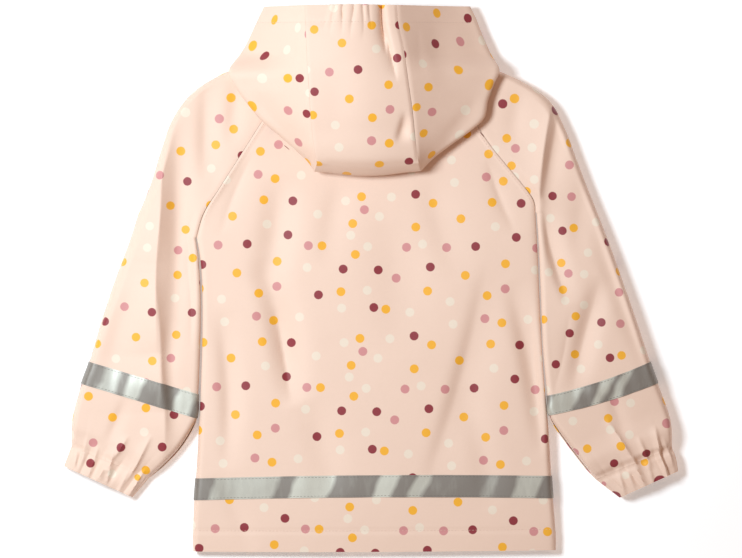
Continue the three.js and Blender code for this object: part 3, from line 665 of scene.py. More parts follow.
def front_panel(side):
    left = side == "left"
    towards = 1 if left else -1
    rows = body_rows(UNDER_STEP)
    lap = LEFT_LAP if left else RIGHT_LAP
    first, last = tape_rows(rows["at"])
    number = np.arange(len(rows["at"]))
    base = np.where((number >= first) & (number <= last), TAPE_LIFT, 0.0)
    base = np.maximum(base, np.where((number == first - 1) | (number == last + 1), 0.2, 0.0))
    lap = lap + np.where(left & (base > 0), TAPE_LIFT, 0.0)
    drop = np.where(rows["share"] > 0, rows["share"] ** 2, 0)
    middle_y = (rows["left_y"] + rows["right_y"]) / 2 + rows["bow"]

    def height(x, share):
        ramp = smooth((x * towards + LAP + LAP_MARGIN + LAP_RAMP) / LAP_RAMP)
        return base[:, None] + lap[:, None] * ramp

    ends = {
        "start_x": rows[side + "_x"] + towards * SEAM / 2, "start_y": rows[side + "_y"],
        "end_x": np.full_like(base, towards * LAP),
        "end_y": middle_y - (FRONT_NECK_DROP + NECK_BOW) * drop,
        "start_z": seam_height(rows["climb"], base, False, rows["lift"]), "end_z": base + lap,
        "bow": FRONT_NECK_BOW * drop, "height": height, "end_plain": True,
    }
    width = np.hypot(ends["end_x"] - ends["start_x"], ends["end_y"] - ends["start_y"])
    steps = front_steps(width, round(max(width) / UNDER_STEP))
    return laid(ends, steps, FRONT_CREASES[side], False, left), rows


def gather_wave(turn):
    """Height of the cuff's gathers, from 0 to 1; turn runs from 0 to 1 over the upper half of the cuff."""
    phase = turn * CUFF_GATHERS / 2 + 0.16 * np.sin(turn * 19) + 0.1 * np.sin(turn * 43)
    return np.abs(np.sin(np.pi * phase)) ** 0.75


def sleeve_panel(side, upper):
    inward = 1 if side == "left" else -1
    step = sizes().step * SLEEVE_FINENESS if upper else UNDER_STEP
    stations = SLEEVE[side]
    low = fine_rows(stations, "outer_y", step)
    high = fine_rows(RAGLAN, "left_y", step)[1:]
    share = high / (len(RAGLAN["left_x"]) - 1)
    climb = np.append(np.zeros_like(low), smooth(share / RAGLAN_RISE))
    arm = "arm_" + side
    join = {"outer_x": arm + "_x", "outer_y": arm + "_y", "inner_x": side + "_x", "inner_y": side + "_y"}
    rows = {key: np.append(column(stations, key, low), column(RAGLAN, name, high))
            for key, name in join.items()}
    bow = np.append(column(stations, "bow", low), np.zeros_like(high))
    at = np.append(low, low[-1] + high)
    arm_top = stations["top"][-1]
    top = np.append(column(stations, "top", low), arm_top + (NECK_HEIGHT - arm_top) * share)
    body_top = BODY["top"][-1]
    seam_top = np.append(column(stations, "top", low), body_top + (NECK_HEIGHT - body_top) * share)
    lift = smooth((at - SLEEVE_LIFT_ROWS[0]) / (SLEEVE_LIFT_ROWS[1] - SLEEVE_LIFT_ROWS[0]))
    first, last = tape_rows(at)
    number = np.arange(len(at))
    base = np.where((number >= first) & (number <= last), TAPE_LIFT, 0.0)
    flat = top if upper else base
    peep = 0 if upper else PEEP * smooth(at / 0.4) * smooth((2.2 - at) / 0.5)
    ends = {
        "start_x": rows["outer_x"], "start_y": rows["outer_y"],
        "end_x": rows["inner_x"] - inward * (SEAM / 2 - peep), "end_y": rows["inner_y"],
        "start_z": seam_height(np.zeros_like(at), 0, upper),
        "end_z": seam_height(climb, seam_top if upper else base, upper, lift),
        "bow": bow, "height": lambda x, share: flat[:, None] + 0 * x,
    }
    width = np.hypot(ends["end_x"] - ends["start_x"], ends["end_y"] - ends["start_y"])
    steps = row_steps(width, round(max(width) / step), UPPER_EDGE_ROLL if upper else EDGE_ROLL)
    flip = (side == "left") != upper
    creases = (SLEEVE_CREASES if upper else SLEEVE_FRONT_CREASES)[side]
    panel = laid(ends, steps, creases, upper, flip)
    meet_cuff(panel, width, upper)
    if upper:
        panel = panel.raised(wrist_relief(panel, width, side) + armhole_relief(climb, steps, width))
    return panel, at


def cuff_oval(share):
    """Height of the cuff's oval above its middle, over a share of its width."""
    wide = np.abs(2 * share - 1) ** (1 / CUFF_OVAL[0])
    return np.sqrt(np.clip(1 - wide**2, 0, 1)) ** CUFF_OVAL[1]


def meet_cuff(panel, width, upper):
    """The sleeve's end takes the oval form of the cuff."""
    p = panel.points
    up = np.linalg.norm(p - p[:1], axis=2)
    high = cuff_oval(panel.steps / width[:, None])
    gap = SEAM / 2 * (1 - high)
    oval = CUFF_HALF_HEIGHT * (1 + high) + gap if upper else CUFF_HALF_HEIGHT * (1 - high) - gap
    near = 1 - smooth(up / CUFF_BLEND)
    p[:, :, 2] += (oval - p[:, :, 2]) * near


def wrist_wave(share):
    """The small gathers where cuff and sleeve meet, over a share of the width."""
    turn = np.arccos(np.clip(1 - 2 * share, -1, 1)) / np.pi
    uneven = 0.7 + 0.3 * np.sin(turn * 23 + 1.3)
    ends = smooth(share / 0.06) * smooth((1 - share) / 0.06)
    return (gather_wave(turn) - 0.35) * CUFF_RISE * uneven * ends


def wrist_relief(panel, width, side):
    """The cuff's gathers and pleats run on into the sleeve and fade out."""
    p = panel.points
    up = np.linalg.norm(p - p[:1], axis=2)
    share = panel.steps / width[:, None]
    fade = np.exp(-up / (9 + 4 * np.sin(share * 17)))
    edges = smooth(share / 0.05) * smooth((1 - share) / 0.05)
    balloon = BALLOON[side] * smooth(up / 8) * (1 - smooth((up - 8) / 34)) * edges
    pleats = crease_depth(WRIST_CREASES[side], p[:, :, 0], p[:, :, 1]) * edges
    return wrist_wave(share) * fade + balloon - pleats


def armhole_relief(climb, steps, width):
    """The sleeve's side of the raglan seam dips to the seam."""
    near = width[:, None] - steps
    return -ARMHOLE_DIP * np.exp(-((near / ARMHOLE_DIP_HALF) ** 2)) * climb[:, None]


def cuff_panel(side):
    """A cuff is a ring: a flattened oval with gathers all round its upper half."""
    stations = SLEEVE[side]
    seam_out = np.array([stations["outer_x"][0], stations["outer_y"][0]])
    seam_in = np.array([stations["inner_x"][0], stations["inner_y"][0]])
    end_out, end_in = (np.array(corner) for corner in CUFF[side])
    away = end_out - seam_out
    away = away / np.linalg.norm(away) * CUFF_GAP
    spokes = CUFF_GATHERS * SPOKES_PER_GATHER
    angle = 2 * np.pi * (np.arange(spokes) + 0.5) / spokes
    wide = np.sign(np.cos(angle)) * np.abs(np.cos(angle)) ** CUFF_OVAL[0]
    high = np.sign(np.sin(angle)) * np.abs(np.sin(angle)) ** CUFF_OVAL[1]
    share = np.linspace(0, 1, CUFF_ROWS + 1)[:, None]
    start = seam_out + away + (end_out - seam_out - away) * share
    finish = seam_in + away + (end_in - seam_in - away) * share
    middle, half = (start + finish) / 2, (finish - start) / 2
    plan = middle[:, None, :] + half[:, None, :] * wide[None, :, None]
    z = np.broadcast_to(CUFF_HALF_HEIGHT * (1 + high), plan.shape[:2])
    panel = Panel(np.dstack([plan, z]), side == "right", closed=True)
    wave = wrist_wave((1 + wide) / 2)[None, :]
    over = smooth((z - 0.75 * CUFF_HALF_HEIGHT) / (0.5 * CUFF_HALF_HEIGHT))
    elastic = -ELASTIC_DEPTH[side] * np.exp(-(((share - 0.10) / 0.08) ** 2))
    pleats = crease_depth(WRIST_CREASES[side], plan[..., 0], plan[..., 1])
    return panel.raised((wave + elastic) * over - pleats * smooth((z - CUFF_HALF_HEIGHT) / 4))


def hood_rows():
    count = len(HOOD["left"]["base"]) - 1
    return np.linspace(0, count, count * HOOD_ROW_STEPS + 1)


def casing_groove(y):
    """Depth of the groove along the stitches of the face casing."""
    return CASING_GROOVE * np.exp(-(((BROW_EDGE - CASING_DROP - y) / CASING_GROOVE_HALF) ** 2))


def seam_groove(away):
    """Share of the groove's depth at a distance from the centre seam."""
    return np.exp(-((away / SEAM_GROOVE_HALF) ** 2))


def groove_fade():
    """The centre seam's groove runs out at the fold, for each row of the hood."""
    at = hood_rows()
    return smooth(at[-1] - at)


def hood_side(side):
    """A hood side panel: over the laid edge from the seam to the nose, then under it to the neck."""
    at = hood_rows()
    v = {key: column(HOOD[side], key, at) for key in HOOD_COLUMNS.split()}
    seam, nose, end = (np.stack([v[k + "_x"], v[k + "_y"]], axis=1) for k in ("seam", "nose", "end"))
    edge = 1 - np.cos(np.arange(ROLL_STEPS) / ROLL_STEPS * np.pi / 2)

    def distances(width, count, skip):
        radius = np.minimum(HOOD_ROLL, width * MOST_HOOD_ROLL)[:, None]
        run = np.linspace(0, 1, count + 1)
        return np.hstack([(radius * edge)[:, skip:], radius + (width[:, None] - radius) * run]), radius

    over_width = np.linalg.norm(seam - nose, axis=1)
    under_width = np.linalg.norm(end - nose, axis=1)
    over, over_roll = distances(over_width, HOOD_OVER_STEPS, 1)
    under, under_roll = distances(under_width, HOOD_UNDER_STEPS, 0)
    rise = v["seam_z"] - v["nose_z"]
    shoulder = np.minimum(HOOD_SHOULDER, rise * MOST_HOOD_SHOULDER)[:, None]
    share = over / np.maximum(over_width, 1e-6)[:, None]
    plan = nose[:, None] + (seam - nose)[:, None] * share[..., None]
    z = v["nose_z"][:, None] + shoulder * roll(over, over_roll)
    z = z + (rise[:, None] - shoulder) * share**HOOD_SLOPE_POWER
    form = np.dstack([plan, z])
    inside = smooth(over / 14) * smooth((over_width[:, None] - over) / 12)
    z = z - crease_depth(HOOD_CREASES[side], plan[..., 0], plan[..., 1]) * inside
    z = z - casing_groove(plan[..., 1]) * smooth(over / 6)
    z = z - SEAM_GROOVE[side] * seam_groove(over_width[:, None] - over) * groove_fade()[:, None]
    over_points = np.dstack([plan, z])
    share = under / np.maximum(under_width, 1e-6)[:, None]
    plan = nose[:, None] + (end - nose)[:, None] * share[..., None]
    lying = np.maximum(v["base"][:, None] + (v["end_z"] - v["base"])[:, None] * share, 0)
    z = lying + (v["nose_z"][:, None] - lying) * (1 - roll(under, under_roll))
    below = np.dstack([plan, z])
    grid, form = (np.concatenate([top[:, ::-1], below], axis=1) for top in (over_points, form))
    return Panel(grid, side == "right", form=form)


def hood_seam(panel):
    """The seam beside the centre strip: down the crown, round the fold and up to the nape."""
    grid = panel.points
    nape_row = NAPE_STATION * HOOD_ROW_STEPS
    nape = grid[nape_row:-1, -1][::-1]
    return np.concatenate([grid[:, 0], grid[-1, 1:], nape]), len(grid), len(grid[-1]) - 1


def brow_relief(x, y):
    """Puffs between the brow's troughs, which fan out below the casing."""
    down = BROW_EDGE - y
    troughs = [trough + lean * np.clip(down / reach, 0, 1.2) + BROW_WAVER * np.sin(down / 7 + trough)
               for trough, reach, lean in zip(BROW["x"], BROW["reach"], BROW["lean"])]
    relief = np.zeros_like(x)
    for i in range(len(troughs) - 1):
        left, right = troughs[i], troughs[i + 1]
        t = (x - left) / (right - left)
        reach = (BROW["reach"][i] + BROW["reach"][i + 1]) / 2
        depth = (BROW["depth"][i] + BROW["depth"][i + 1]) / 2
        puff = np.where((t >= 0) & (t <= 1), np.abs(np.sin(np.pi * np.clip(t, 0, 1))) ** 0.33, 0)
        relief += BROW_RISE * depth * puff * (1 - smooth(down / reach))
    return relief


def hood_centre():
    """The centre strip runs over the crown, round the fold and up to the nape."""
    left, crown, fold = hood_seam(hood_side("left"))
    right = hood_seam(hood_side("right"))[0]
    left = left + np.array([HOOD_SEAM["left"], 0, 0])
    right = right - np.array([HOOD_SEAM["right"], 0, 0])
    share = np.linspace(0, 1, CENTRE_COLUMNS + 1)[None, :, None]
    points = left[:, None] + (right - left)[:, None] * share
    bulge = np.sin(np.pi * share[..., 0])
    number = np.arange(len(left))
    dome = 1 - smooth((number - crown + 8) / (fold * 0.6))[:, None]
    x, y = points[..., 0].copy(), points[..., 1].copy()
    crown_rows = (number < crown)[:, None]
    points[..., 2] += HOOD_DOME * bulge * dome
    gap = np.linalg.norm(np.diff(left, axis=0), axis=1)
    run = np.insert(np.cumsum(gap), 0, 0)
    lowest = run[int(np.argmin(left[:, 1]))]
    near = smooth(1 - np.minimum(np.abs(run - lowest) / FOLD_BULGE_REACH, 1))[:, None]
    points[..., 1] -= FOLD_BULGE * bulge * near
    weights = np.exp(-(((run[:, None] - run[None, :]) / FOLD_SOFTNESS) ** 2)) * np.gradient(run)
    weights /= weights.sum(axis=1, keepdims=True)
    soft = np.einsum("ij,jck->ick", weights, points)
    points += (soft - points) * (smooth(bulge / 0.5) * smooth(near / 0.6))[..., None]
    form = points.copy()
    points[..., 2] -= crease_depth(CROWN_CREASES, x, y) * smooth(bulge / 0.25) * crown_rows
    points[..., 2] -= casing_groove(y) * crown_rows
    fade = np.append(groove_fade(), np.zeros(len(left) - crown))[:, None]
    span = np.linalg.norm(right - left, axis=1)[:, None]
    share = share[..., 0]
    deep = (SEAM_GROOVE["left"], SEAM_GROOVE["right"])
    groove = deep[0] * (seam_groove(share * span) + share - 1)
    groove = groove + deep[1] * (seam_groove((1 - share) * span) - share)
    points[..., 2] -= groove * fade
    panel = Panel(points, True, form=form)
    return panel.raised(brow_relief(x, y) * crown_rows * smooth(bulge / 0.2))


def to_metres(points):
    """Millimetres of the plan to metres of the frame."""
    low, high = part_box("snap_1")
    centre = (low + high) / 2
    shift = np.array([centre.x, centre.y - LOWEST_CAP * MM, 0])
    return np.asarray(points) * MM + shift


def grid_object(name, panel):
    """A mesh of a panel's grid before its folds, with its faces outwards."""
    rows, columns = panel.form.shape[:2]
    spans = columns if panel.closed else columns - 1
    r, c = np.meshgrid(np.arange(rows - 1), np.arange(spans), indexing="ij")
    after = (c + 1) % columns
    here, above = r * columns, (r + 1) * columns
    quads = np.stack([here + c, here + after, above + after, above + c], axis=2)
    if panel.flip:
        quads = quads[..., ::-1]
    mesh = bpy.data.meshes.new(name)
    mesh.from_pydata(to_metres(panel.form.reshape(-1, 3)), [], quads.reshape(-1, 4).tolist())
    mesh.update()
    piece = bpy.data.objects.new(name, mesh)
    bpy.context.scene.collection.objects.link(piece)
    return piece


def only(piece):
    """Selects one piece and nothing else."""
    bpy.ops.object.select_all(action="DESELECT")
    piece.select_set(True)
    bpy.context.view_layer.objects.active = piece


def lay_out_print(piece, panel, place, first, second, method="CONFORMAL"):
    """Unwraps the cloth flat and sets it on the print at real size.

    first and second are two points of the grid; the line between them is turned by the place's angle.
    """
    only(piece)
    bpy.ops.object.mode_set(mode="EDIT")
    bpy.ops.mesh.select_all(action="SELECT")
    bpy.ops.uv.unwrap(method=method, margin=0.0)
    bpy.ops.object.mode_set(mode="OBJECT")
    layer = piece.data.uv_layers.active
    layer.name = "print"
    flat = np.zeros(len(layer.data) * 2)
    layer.data.foreach_get("uv", flat)
    flat = flat.reshape(-1, 2) @ np.array([1, 1j])
    corner = np.zeros(len(layer.data), int)
    piece.data.loops.foreach_get("vertex_index", corner)
    columns = panel.points.shape[1]
    marks = [flat[int(np.argmax(corner == r * columns + c))] for r, c in (first, second)]
    (r0, c0), (r1, c1) = first, second
    if c0 == c1:
        line = panel.form[min(r0, r1):max(r0, r1) + 1, c0]
    else:
        line = panel.form[r0, min(c0, c1):max(c0, c1) + 1]
    length = np.linalg.norm(np.diff(line, axis=0), axis=1).sum()
    x, y, angle = place
    scale = length * np.exp(1j * math.radians(angle)) / (marks[1] - marks[0])
    spot = (flat - marks[0]) * scale * MM + complex(x, y) * MM
    layer.data.foreach_set("uv", np.stack([spot.real, spot.imag], axis=1).ravel())


def cloth_piece(name, node, panel, looks, place=None, marks=None, thickness=None):
    """A thin shell of cloth on a panel's grid, in place of its solid."""
    piece = grid_object(name, panel)
    if place is not None:
        lay_out_print(piece, panel, place, *marks)
    piece.data.vertices.foreach_set("co", to_metres(panel.points).ravel())
    piece.data.update()
    for material in looks:
        piece.data.materials.append(material)
    only(piece)
    bpy.ops.object.shade_smooth()
    wall = piece.modifiers.new("Wall", "SOLIDIFY")
    wall.thickness = thickness or sizes().cloth
    wall.offset = -1
    wall.use_rim = True
    wall.material_offset = len(looks) - 1
    bpy.ops.object.modifier_apply(modifier=wall.name)
    bpy.ops.object.shade_smooth_by_angle(angle=math.radians(60))
    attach(piece, "root")
    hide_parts(node)
    return piece


def stitch_row(name, path, normals, thread, slot, length=None):
    """A row of stitches along a path on the cloth: short raised bars of thread with pointed ends."""
    size = sizes()
    length = length or size.stitch
    gaps = np.linalg.norm(np.diff(path, axis=0), axis=1)
    run = np.insert(np.cumsum(gaps), 0, 0)
    starts = np.arange(size.stitch_gap, run[-1] - length, length + size.stitch_gap)

    def at(distance, values):
        return np.stack([np.interp(distance, run, values[:, k]) for k in range(3)], axis=1)

    points, faces = [], []
    out = at(starts + length / 2, normals)
    out /= np.linalg.norm(out, axis=1, keepdims=True)
    head, tail = at(starts, path), at(starts + length, path)
    side = np.cross(out, tail - head)
    side /= np.linalg.norm(side, axis=1, keepdims=True)
    half = size.thread / 2
    for share, wide, high in STITCH_FORM:
        centre = head + (tail - head) * share
        points.append(centre + side * half * wide - out * STITCH_SINK)
        points.append(centre + out * (half * high + STITCH_LIFT))
        points.append(centre - side * half * wide - out * STITCH_SINK)
    count = len(starts)
    ring = np.stack(points, axis=1).reshape(-1, 3)
    for i in range(count):
        base = i * 12
        for k in range(3):
            a, b = base + k * 3, base + (k + 1) * 3
            faces += [(a, a + 1, b + 1, b), (a + 1, a + 2, b + 2, b + 1), (a + 2, a, b, b + 2)]
        faces += [(base, base + 2, base + 1), (base + 9, base + 10, base + 11)]
    mesh = bpy.data.meshes.new(name)
    mesh.from_pydata(to_metres(ring), [], faces)
    mesh.update()
    piece = bpy.data.objects.new(name, mesh)
    bpy.context.scene.collection.objects.link(piece)
    piece.data.materials.append(thread)
    only(piece)
    bpy.ops.object.mode_set(mode="EDIT")
    bpy.ops.mesh.select_all(action="SELECT")
    bpy.ops.mesh.normals_make_consistent(inside=False)
    bpy.ops.object.mode_set(mode="OBJECT")
    bpy.ops.object.shade_smooth()
    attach(piece, "root")
    return piece


def back_height(panel, place):
    """Height of the nearest point of a panel above a place of the plan."""
    off = panel.points[:, :, :2] - np.array(place)
    row, column_number = np.unravel_index(np.argmin((off**2).sum(axis=2)), off.shape[:2])
    return panel.points[row, column_number, 2] + THREAD_END_LIFT


def line_beside(panel, distance, rows, from_end):
    """Points and normals of a panel at a distance from the start or the end of its rows."""
    normals = panel.normals()
    path, out = [], []
    for r in rows:
        steps = panel.steps[r]
        at = steps[-1] - distance if from_end else distance
        path.append([np.interp(at, steps, panel.points[r, :, k]) for k in range(3)])
        out.append([np.interp(at, steps, normals[r, :, k]) for k in range(3)])
    return np.array(path), np.array(out)


def line_up(panel, distance, start=0.0, end=1.0):
    """Points and normals of a panel at a distance up from its first row, over a share of its width."""
    normals = panel.normals()
    path, out = [], []
    columns = panel.points.shape[1]
    for c in range(round(start * (columns - 1)), round(end * (columns - 1)) + 1):
        up = np.linalg.norm(panel.points[:, c, :2] - panel.points[0, c, :2], axis=1)
        path.append([np.interp(distance, up, panel.points[:, c, k]) for k in range(3)])
        out.append([np.interp(distance, up, normals[:, c, k]) for k in range(3)])
    return np.array(path), np.array(out)


class Tree:
    """Short ways to add and join the nodes of a material or a group."""

    def __init__(self, tree):
        self.tree = tree

    def add(self, kind, inputs=None, **settings):
        node = self.tree.nodes.new(kind)
        for key, value in settings.items():
            setattr(node, key, value)
        for key, value in (inputs or {}).items():
            if isinstance(value, bpy.types.NodeSocket):
                self.tree.links.new(value, node.inputs[key])
            else:
                node.inputs[key].default_value = value
        return node

    def math(self, operation, *values):
        return self.add("ShaderNodeMath", dict(enumerate(values)), operation=operation).outputs[0]

    def vector(self, operation, *values, output="Vector"):
        return self.add("ShaderNodeVectorMath", dict(enumerate(values)), operation=operation).outputs[output]

    def mix(self, share, first, second):
        inputs = {0: share, 6: first, 7: second}
        return self.add("ShaderNodeMix", inputs, data_type="RGBA").outputs[2]

    def noise(self, vector, scale, detail=2.0, roughness=0.5):
        inputs = {"Vector": vector, "Scale": scale, "Detail": detail, "Roughness": roughness}
        return self.add("ShaderNodeTexNoise", inputs).outputs["Fac"]

    def ramp(self, value, low, high, to_low=0.0, to_high=1.0):
        inputs = {"Value": value, "From Min": low, "From Max": high, "To Min": to_low, "To Max": to_high}
        return self.add("ShaderNodeMapRange", inputs, clamp=True).outputs["Result"]

    def bump(self, height, strength, distance, normal=None):
        inputs = {"Height": height, "Strength": strength, "Distance": distance}
        if normal is not None:
            inputs["Normal"] = normal
        return self.add("ShaderNodeBump", inputs).outputs["Normal"]


def rgba(colour, share=1.0):
    """A colour for a socket, darkened to a share."""
    return (*(c * share for c in colour), 1.0)


def new_material(name):
    """A material with a Principled shader, and the helper for its nodes."""
    material = bpy.data.materials.new(name)
    material.use_nodes = True
    tree = Tree(material.node_tree)
    shader = next(n for n in material.node_tree.nodes if n.type == "BSDF_PRINCIPLED")
    return material, tree, shader


def dot_group():
    """A node group: from a place on the print, in millimetres, how far it is inside a dot of each colour."""
    group = bpy.data.node_groups.new("Dot print", "ShaderNodeTree")
    group.interface.new_socket("Place", in_out="INPUT", socket_type="NodeSocketVector")
    tree = Tree(group)
    half = (TILE[0] / 2, TILE[1] / 2, 1)
    place = tree.add("NodeGroupInput").outputs[0]
    output = tree.add("NodeGroupOutput")
    radius = sizes().dot
    for colour, centres in DOTS.items():
        group.interface.new_socket(colour, in_out="OUTPUT", socket_type="NodeSocketFloat")
        nearest = None
        for x, y in centres:
            offset = tree.vector("SUBTRACT", place, (x, y, 0))
            wrapped = tree.vector("WRAP", offset, half, (-half[0], -half[1], -half[2]))
            length = tree.vector("LENGTH", wrapped, output="Value")
            nearest = length if nearest is None else tree.math("MINIMUM", nearest, length)
        inside = tree.ramp(nearest, radius + 0.3, radius - 0.3)
        group.links.new(inside, output.inputs[colour])
    return group


def fabric_place(tree):
    """Object coordinates."""
    return tree.add("ShaderNodeTexCoord").outputs["Object"]


def make_cloth_look():
    """Matte coated cloth with printed dots."""
    material, tree, shader = new_material("coated_cloth")
    tone = colours()
    uv = tree.add("ShaderNodeUVMap", uv_map="print").outputs["UV"]
    mirrored = tree.vector("MULTIPLY", uv, (1 / MM, -1 / MM, 0))
    place = fabric_place(tree)
    edge_noise = tree.add("ShaderNodeTexNoise", {"Vector": place, "Scale": 900.0, "Detail": 1.0})
    wobble = tree.vector("SUBTRACT", edge_noise.outputs["Color"], (0.5, 0.5, 0.5))
    wobble = tree.vector("MULTIPLY", wobble, (0.5, 0.5, 0))
    spot = tree.vector("ADD", mirrored, wobble)
    dots = tree.add("ShaderNodeGroup", node_tree=dot_group())
    tree.tree.links.new(spot, dots.inputs[0])
    broad = tree.noise(place, 14.0, 2.0)
    ground = tree.mix(tree.ramp(broad, 0.3, 0.7, 0.0, 0.10), rgba(tone.cloth), rgba(tone.cloth, 0.86))
    mottle = tree.noise(place, 420.0, 3.0, 0.7)
    ground = tree.mix(tree.ramp(mottle, 0.35, 0.7, 0.0, 0.07), ground, rgba(tone.cloth, 0.8))
    colour = ground
    for name in ("cream", "pink", "burgundy", "orange"):
        colour = tree.mix(dots.outputs[name], colour, rgba(getattr(tone, name)))
    tree.tree.links.new(colour, shader.inputs["Base Color"])
    ink = tree.math("MAXIMUM", dots.outputs["burgundy"], dots.outputs["orange"])
    ink = tree.math("MAXIMUM", ink, dots.outputs["pink"])
    grain = tree.noise(place, 1500.0, 2.0)
    rough = tree.math("ADD", tree.ramp(grain, 0.3, 0.7, 0.50, 0.60), tree.math("MULTIPLY", ink, -0.06))
    tree.tree.links.new(rough, shader.inputs["Roughness"])
    weave = weave_height(tree, place, 2600.0)
    normal = tree.bump(tree.noise(place, 30.0, 2.0), 0.35, 0.0012)
    normal = tree.bump(grain, 0.30, 0.00012, normal)
    normal = tree.bump(weave, 0.25, 0.00008, normal)
    tree.tree.links.new(normal, shader.inputs["Normal"])
    shader.inputs["Specular IOR Level"].default_value = 0.32
    shader.inputs["Sheen Weight"].default_value = 0.12
    shader.inputs["Sheen Roughness"].default_value = 0.5
    return material


def weave_height(tree, place, scale):
    """A fine plain weave from two crossing waves."""
    waves = []
    for axis in ("X", "Y"):
        inputs = {"Vector": place, "Scale": scale, "Distortion": 0.6, "Detail": 0.0}
        waves.append(tree.add(
            "ShaderNodeTexWave", inputs, wave_type="BANDS", bands_direction=axis).outputs["Fac"])
    return tree.math("MULTIPLY", *waves)


def make_backing_look():
    """The knitted back of the cloth, inside the coat."""
    material, tree, shader = new_material("knitted_backing")
    place = fabric_place(tree)
    tone = colours().backing
    shade = tree.noise(place, 700.0, 2.0)
    colour = tree.mix(tree.ramp(shade, 0.3, 0.7), rgba(tone), rgba(tone, 0.88))
    tree.tree.links.new(colour, shader.inputs["Base Color"])
    tree.tree.links.new(tree.bump(weave_height(tree, place, 900.0), 0.5, 0.0002), shader.inputs["Normal"])
    shader.inputs["Roughness"].default_value = 0.9
    shader.inputs["Sheen Weight"].default_value = 0.25
    return material


def make_tape_look():
    """Silver-grey reflective tape: a satin face with slanting streaks of painted highlight, reflections of
    light painted into its colour.
    """
    material, tree, shader = new_material("reflective_tape")
    place = fabric_place(tree)
    tone = colours().tape
    axes = tree.add("ShaderNodeSeparateXYZ", {0: place}).outputs
    waver = tree.math("MULTIPLY_ADD", tree.noise(place, 45.0, 1.0), 0.010, -0.005)
    slant = tree.math("MULTIPLY_ADD", axes["Y"], -STREAK_SLANT, axes["X"])
    along = tree.math("ADD", slant, waver)
    # Painted highlights: slanting bright streaks that stand for reflected light, built up here
    painted_shine = None
    for x, y, half, strength in PAINTED_SHEEN_STREAKS:
        centre = (x - STREAK_SLANT * y) * MM
        off = tree.math("ABSOLUTE", tree.math("SUBTRACT", along, centre))
        streak = tree.ramp(off, half * MM + STREAK_EDGE * MM, half * MM - STREAK_EDGE * MM, 0.0, strength)
        painted_shine = streak if painted_shine is None else tree.math("MAXIMUM", painted_shine, streak)
    stretched = tree.add("ShaderNodeMapping", {"Vector": place, "Scale": (1.0, 0.3, 0.2)}).outputs[0]
    grain = tree.ramp(tree.noise(stretched, 110.0, 3.0, 0.6), 0.3, 0.7, -0.12, 0.12)
    share = tree.add("ShaderNodeMath", {0: painted_shine, 1: grain}, operation="ADD", use_clamp=True).outputs[0]
    # The painted highlight colour is mixed into the tape where the streaks lie
    colour = tree.mix(share, rgba(tone), rgba(colours().painted_sheen))
    beads = tree.add("ShaderNodeTexVoronoi", {"Vector": place, "Scale": 1800.0}).outputs["Distance"]
    colour = tree.mix(tree.ramp(beads, 0.1, 0.6, 0.0, 0.10), colour, rgba(tone, 0.6))
    tree.tree.links.new(colour, shader.inputs["Base Color"])
    tree.tree.links.new(tree.ramp(share, 0.0, 1.0, 0.52, 0.42), shader.inputs["Roughness"])
    normal = tree.bump(tree.noise(stretched, 40.0, 1.0), 0.4, 0.0015)
    tree.tree.links.new(tree.bump(beads, 0.25, 0.00008, normal), shader.inputs["Normal"])
    shader.inputs["Metallic"].default_value = 0.35
    return material


def make_thread_look(name, tone):
    """Twisted sewing thread."""
    material, tree, shader = new_material(name)
    place = fabric_place(tree)
    twist = tree.add("ShaderNodeTexWave", {"Vector": place, "Scale": 1800.0, "Distortion": 1.0},
                     bands_direction="DIAGONAL").outputs["Fac"]
    colour = tree.mix(twist, rgba(tone, 0.8), rgba(tone))
    tree.tree.links.new(colour, shader.inputs["Base Color"])
    tree.tree.links.new(tree.bump(twist, 0.4, 0.00005), shader.inputs["Normal"])
    shader.inputs["Roughness"].default_value = 0.6
    return material


def make_snap_look():
    """Moulded plastic snap caps."""
    material, tree, shader = new_material("snap_plastic")
    place = fabric_place(tree)
    tone = colours().snap
    speck = tree.noise(place, 500.0, 2.0)
    tree.tree.links.new(
        tree.mix(tree.ramp(speck, 0.3, 0.7, 0.0, 0.25), rgba(tone), rgba(tone, 0.85)),
        shader.inputs["Base Color"])
    tree.tree.links.new(tree.ramp(speck, 0.3, 0.7, 0.3, 0.42), shader.inputs["Roughness"])
    tree.tree.links.new(tree.bump(speck, 0.15, 0.00005), shader.inputs["Normal"])
    return material


def look(name):
    """A material by name, made when it is first asked for."""
    makers = {
        "coated_cloth": make_cloth_look,
        "knitted_backing": make_backing_look,
        "reflective_tape": make_tape_look,
        "cloth_thread": lambda: make_thread_look("cloth_thread", colours().thread),
        "tape_thread": lambda: make_thread_look("tape_thread", [c * 0.9 for c in colours().tape]),
        "dark_thread": lambda: make_thread_look("dark_thread", colours().burgundy),
        "snap_plastic": make_snap_look,
    }
    return bpy.data.materials.get(name) or makers[name]()


def cloth_looks():
    return [look("coated_cloth"), look("knitted_backing")]


def add_tape(name, node, panel, at, lower=False):
    """A tape that lies on some rows of a panel; an upper tape gets a stitch line inside each edge."""
    first, last = tape_rows(at)
    strip = panel.strip(first, last, TAPE_LIFT)
    width = strip.steps[:, -1:]
    along = strip.steps / width
    ripple = 0.18 * np.sin(along * 21 + 0.7) + 0.12 * np.sin(along * 47)
    if not lower:
        strip = strip.raised(ripple * smooth(along / 0.1) * smooth((1 - along) / 0.1))
    cloth_piece(name, node, strip, [look("reflective_tape")], thickness=TAPE * MM)
    if lower:
        return
    for edge, row in (("low", 0), ("high", -1)):
        inner = 1 if row == 0 else -2
        reach = np.linalg.norm(strip.points[inner, 0] - strip.points[row, 0])
        share = min(TAPE_STITCH / reach, 1)
        path = strip.points[row] * (1 - share) + strip.points[inner] * share
        stitch_row(f"{name}_stitch_{edge}", path, strip.normals()[inner], look("tape_thread"), "tape")


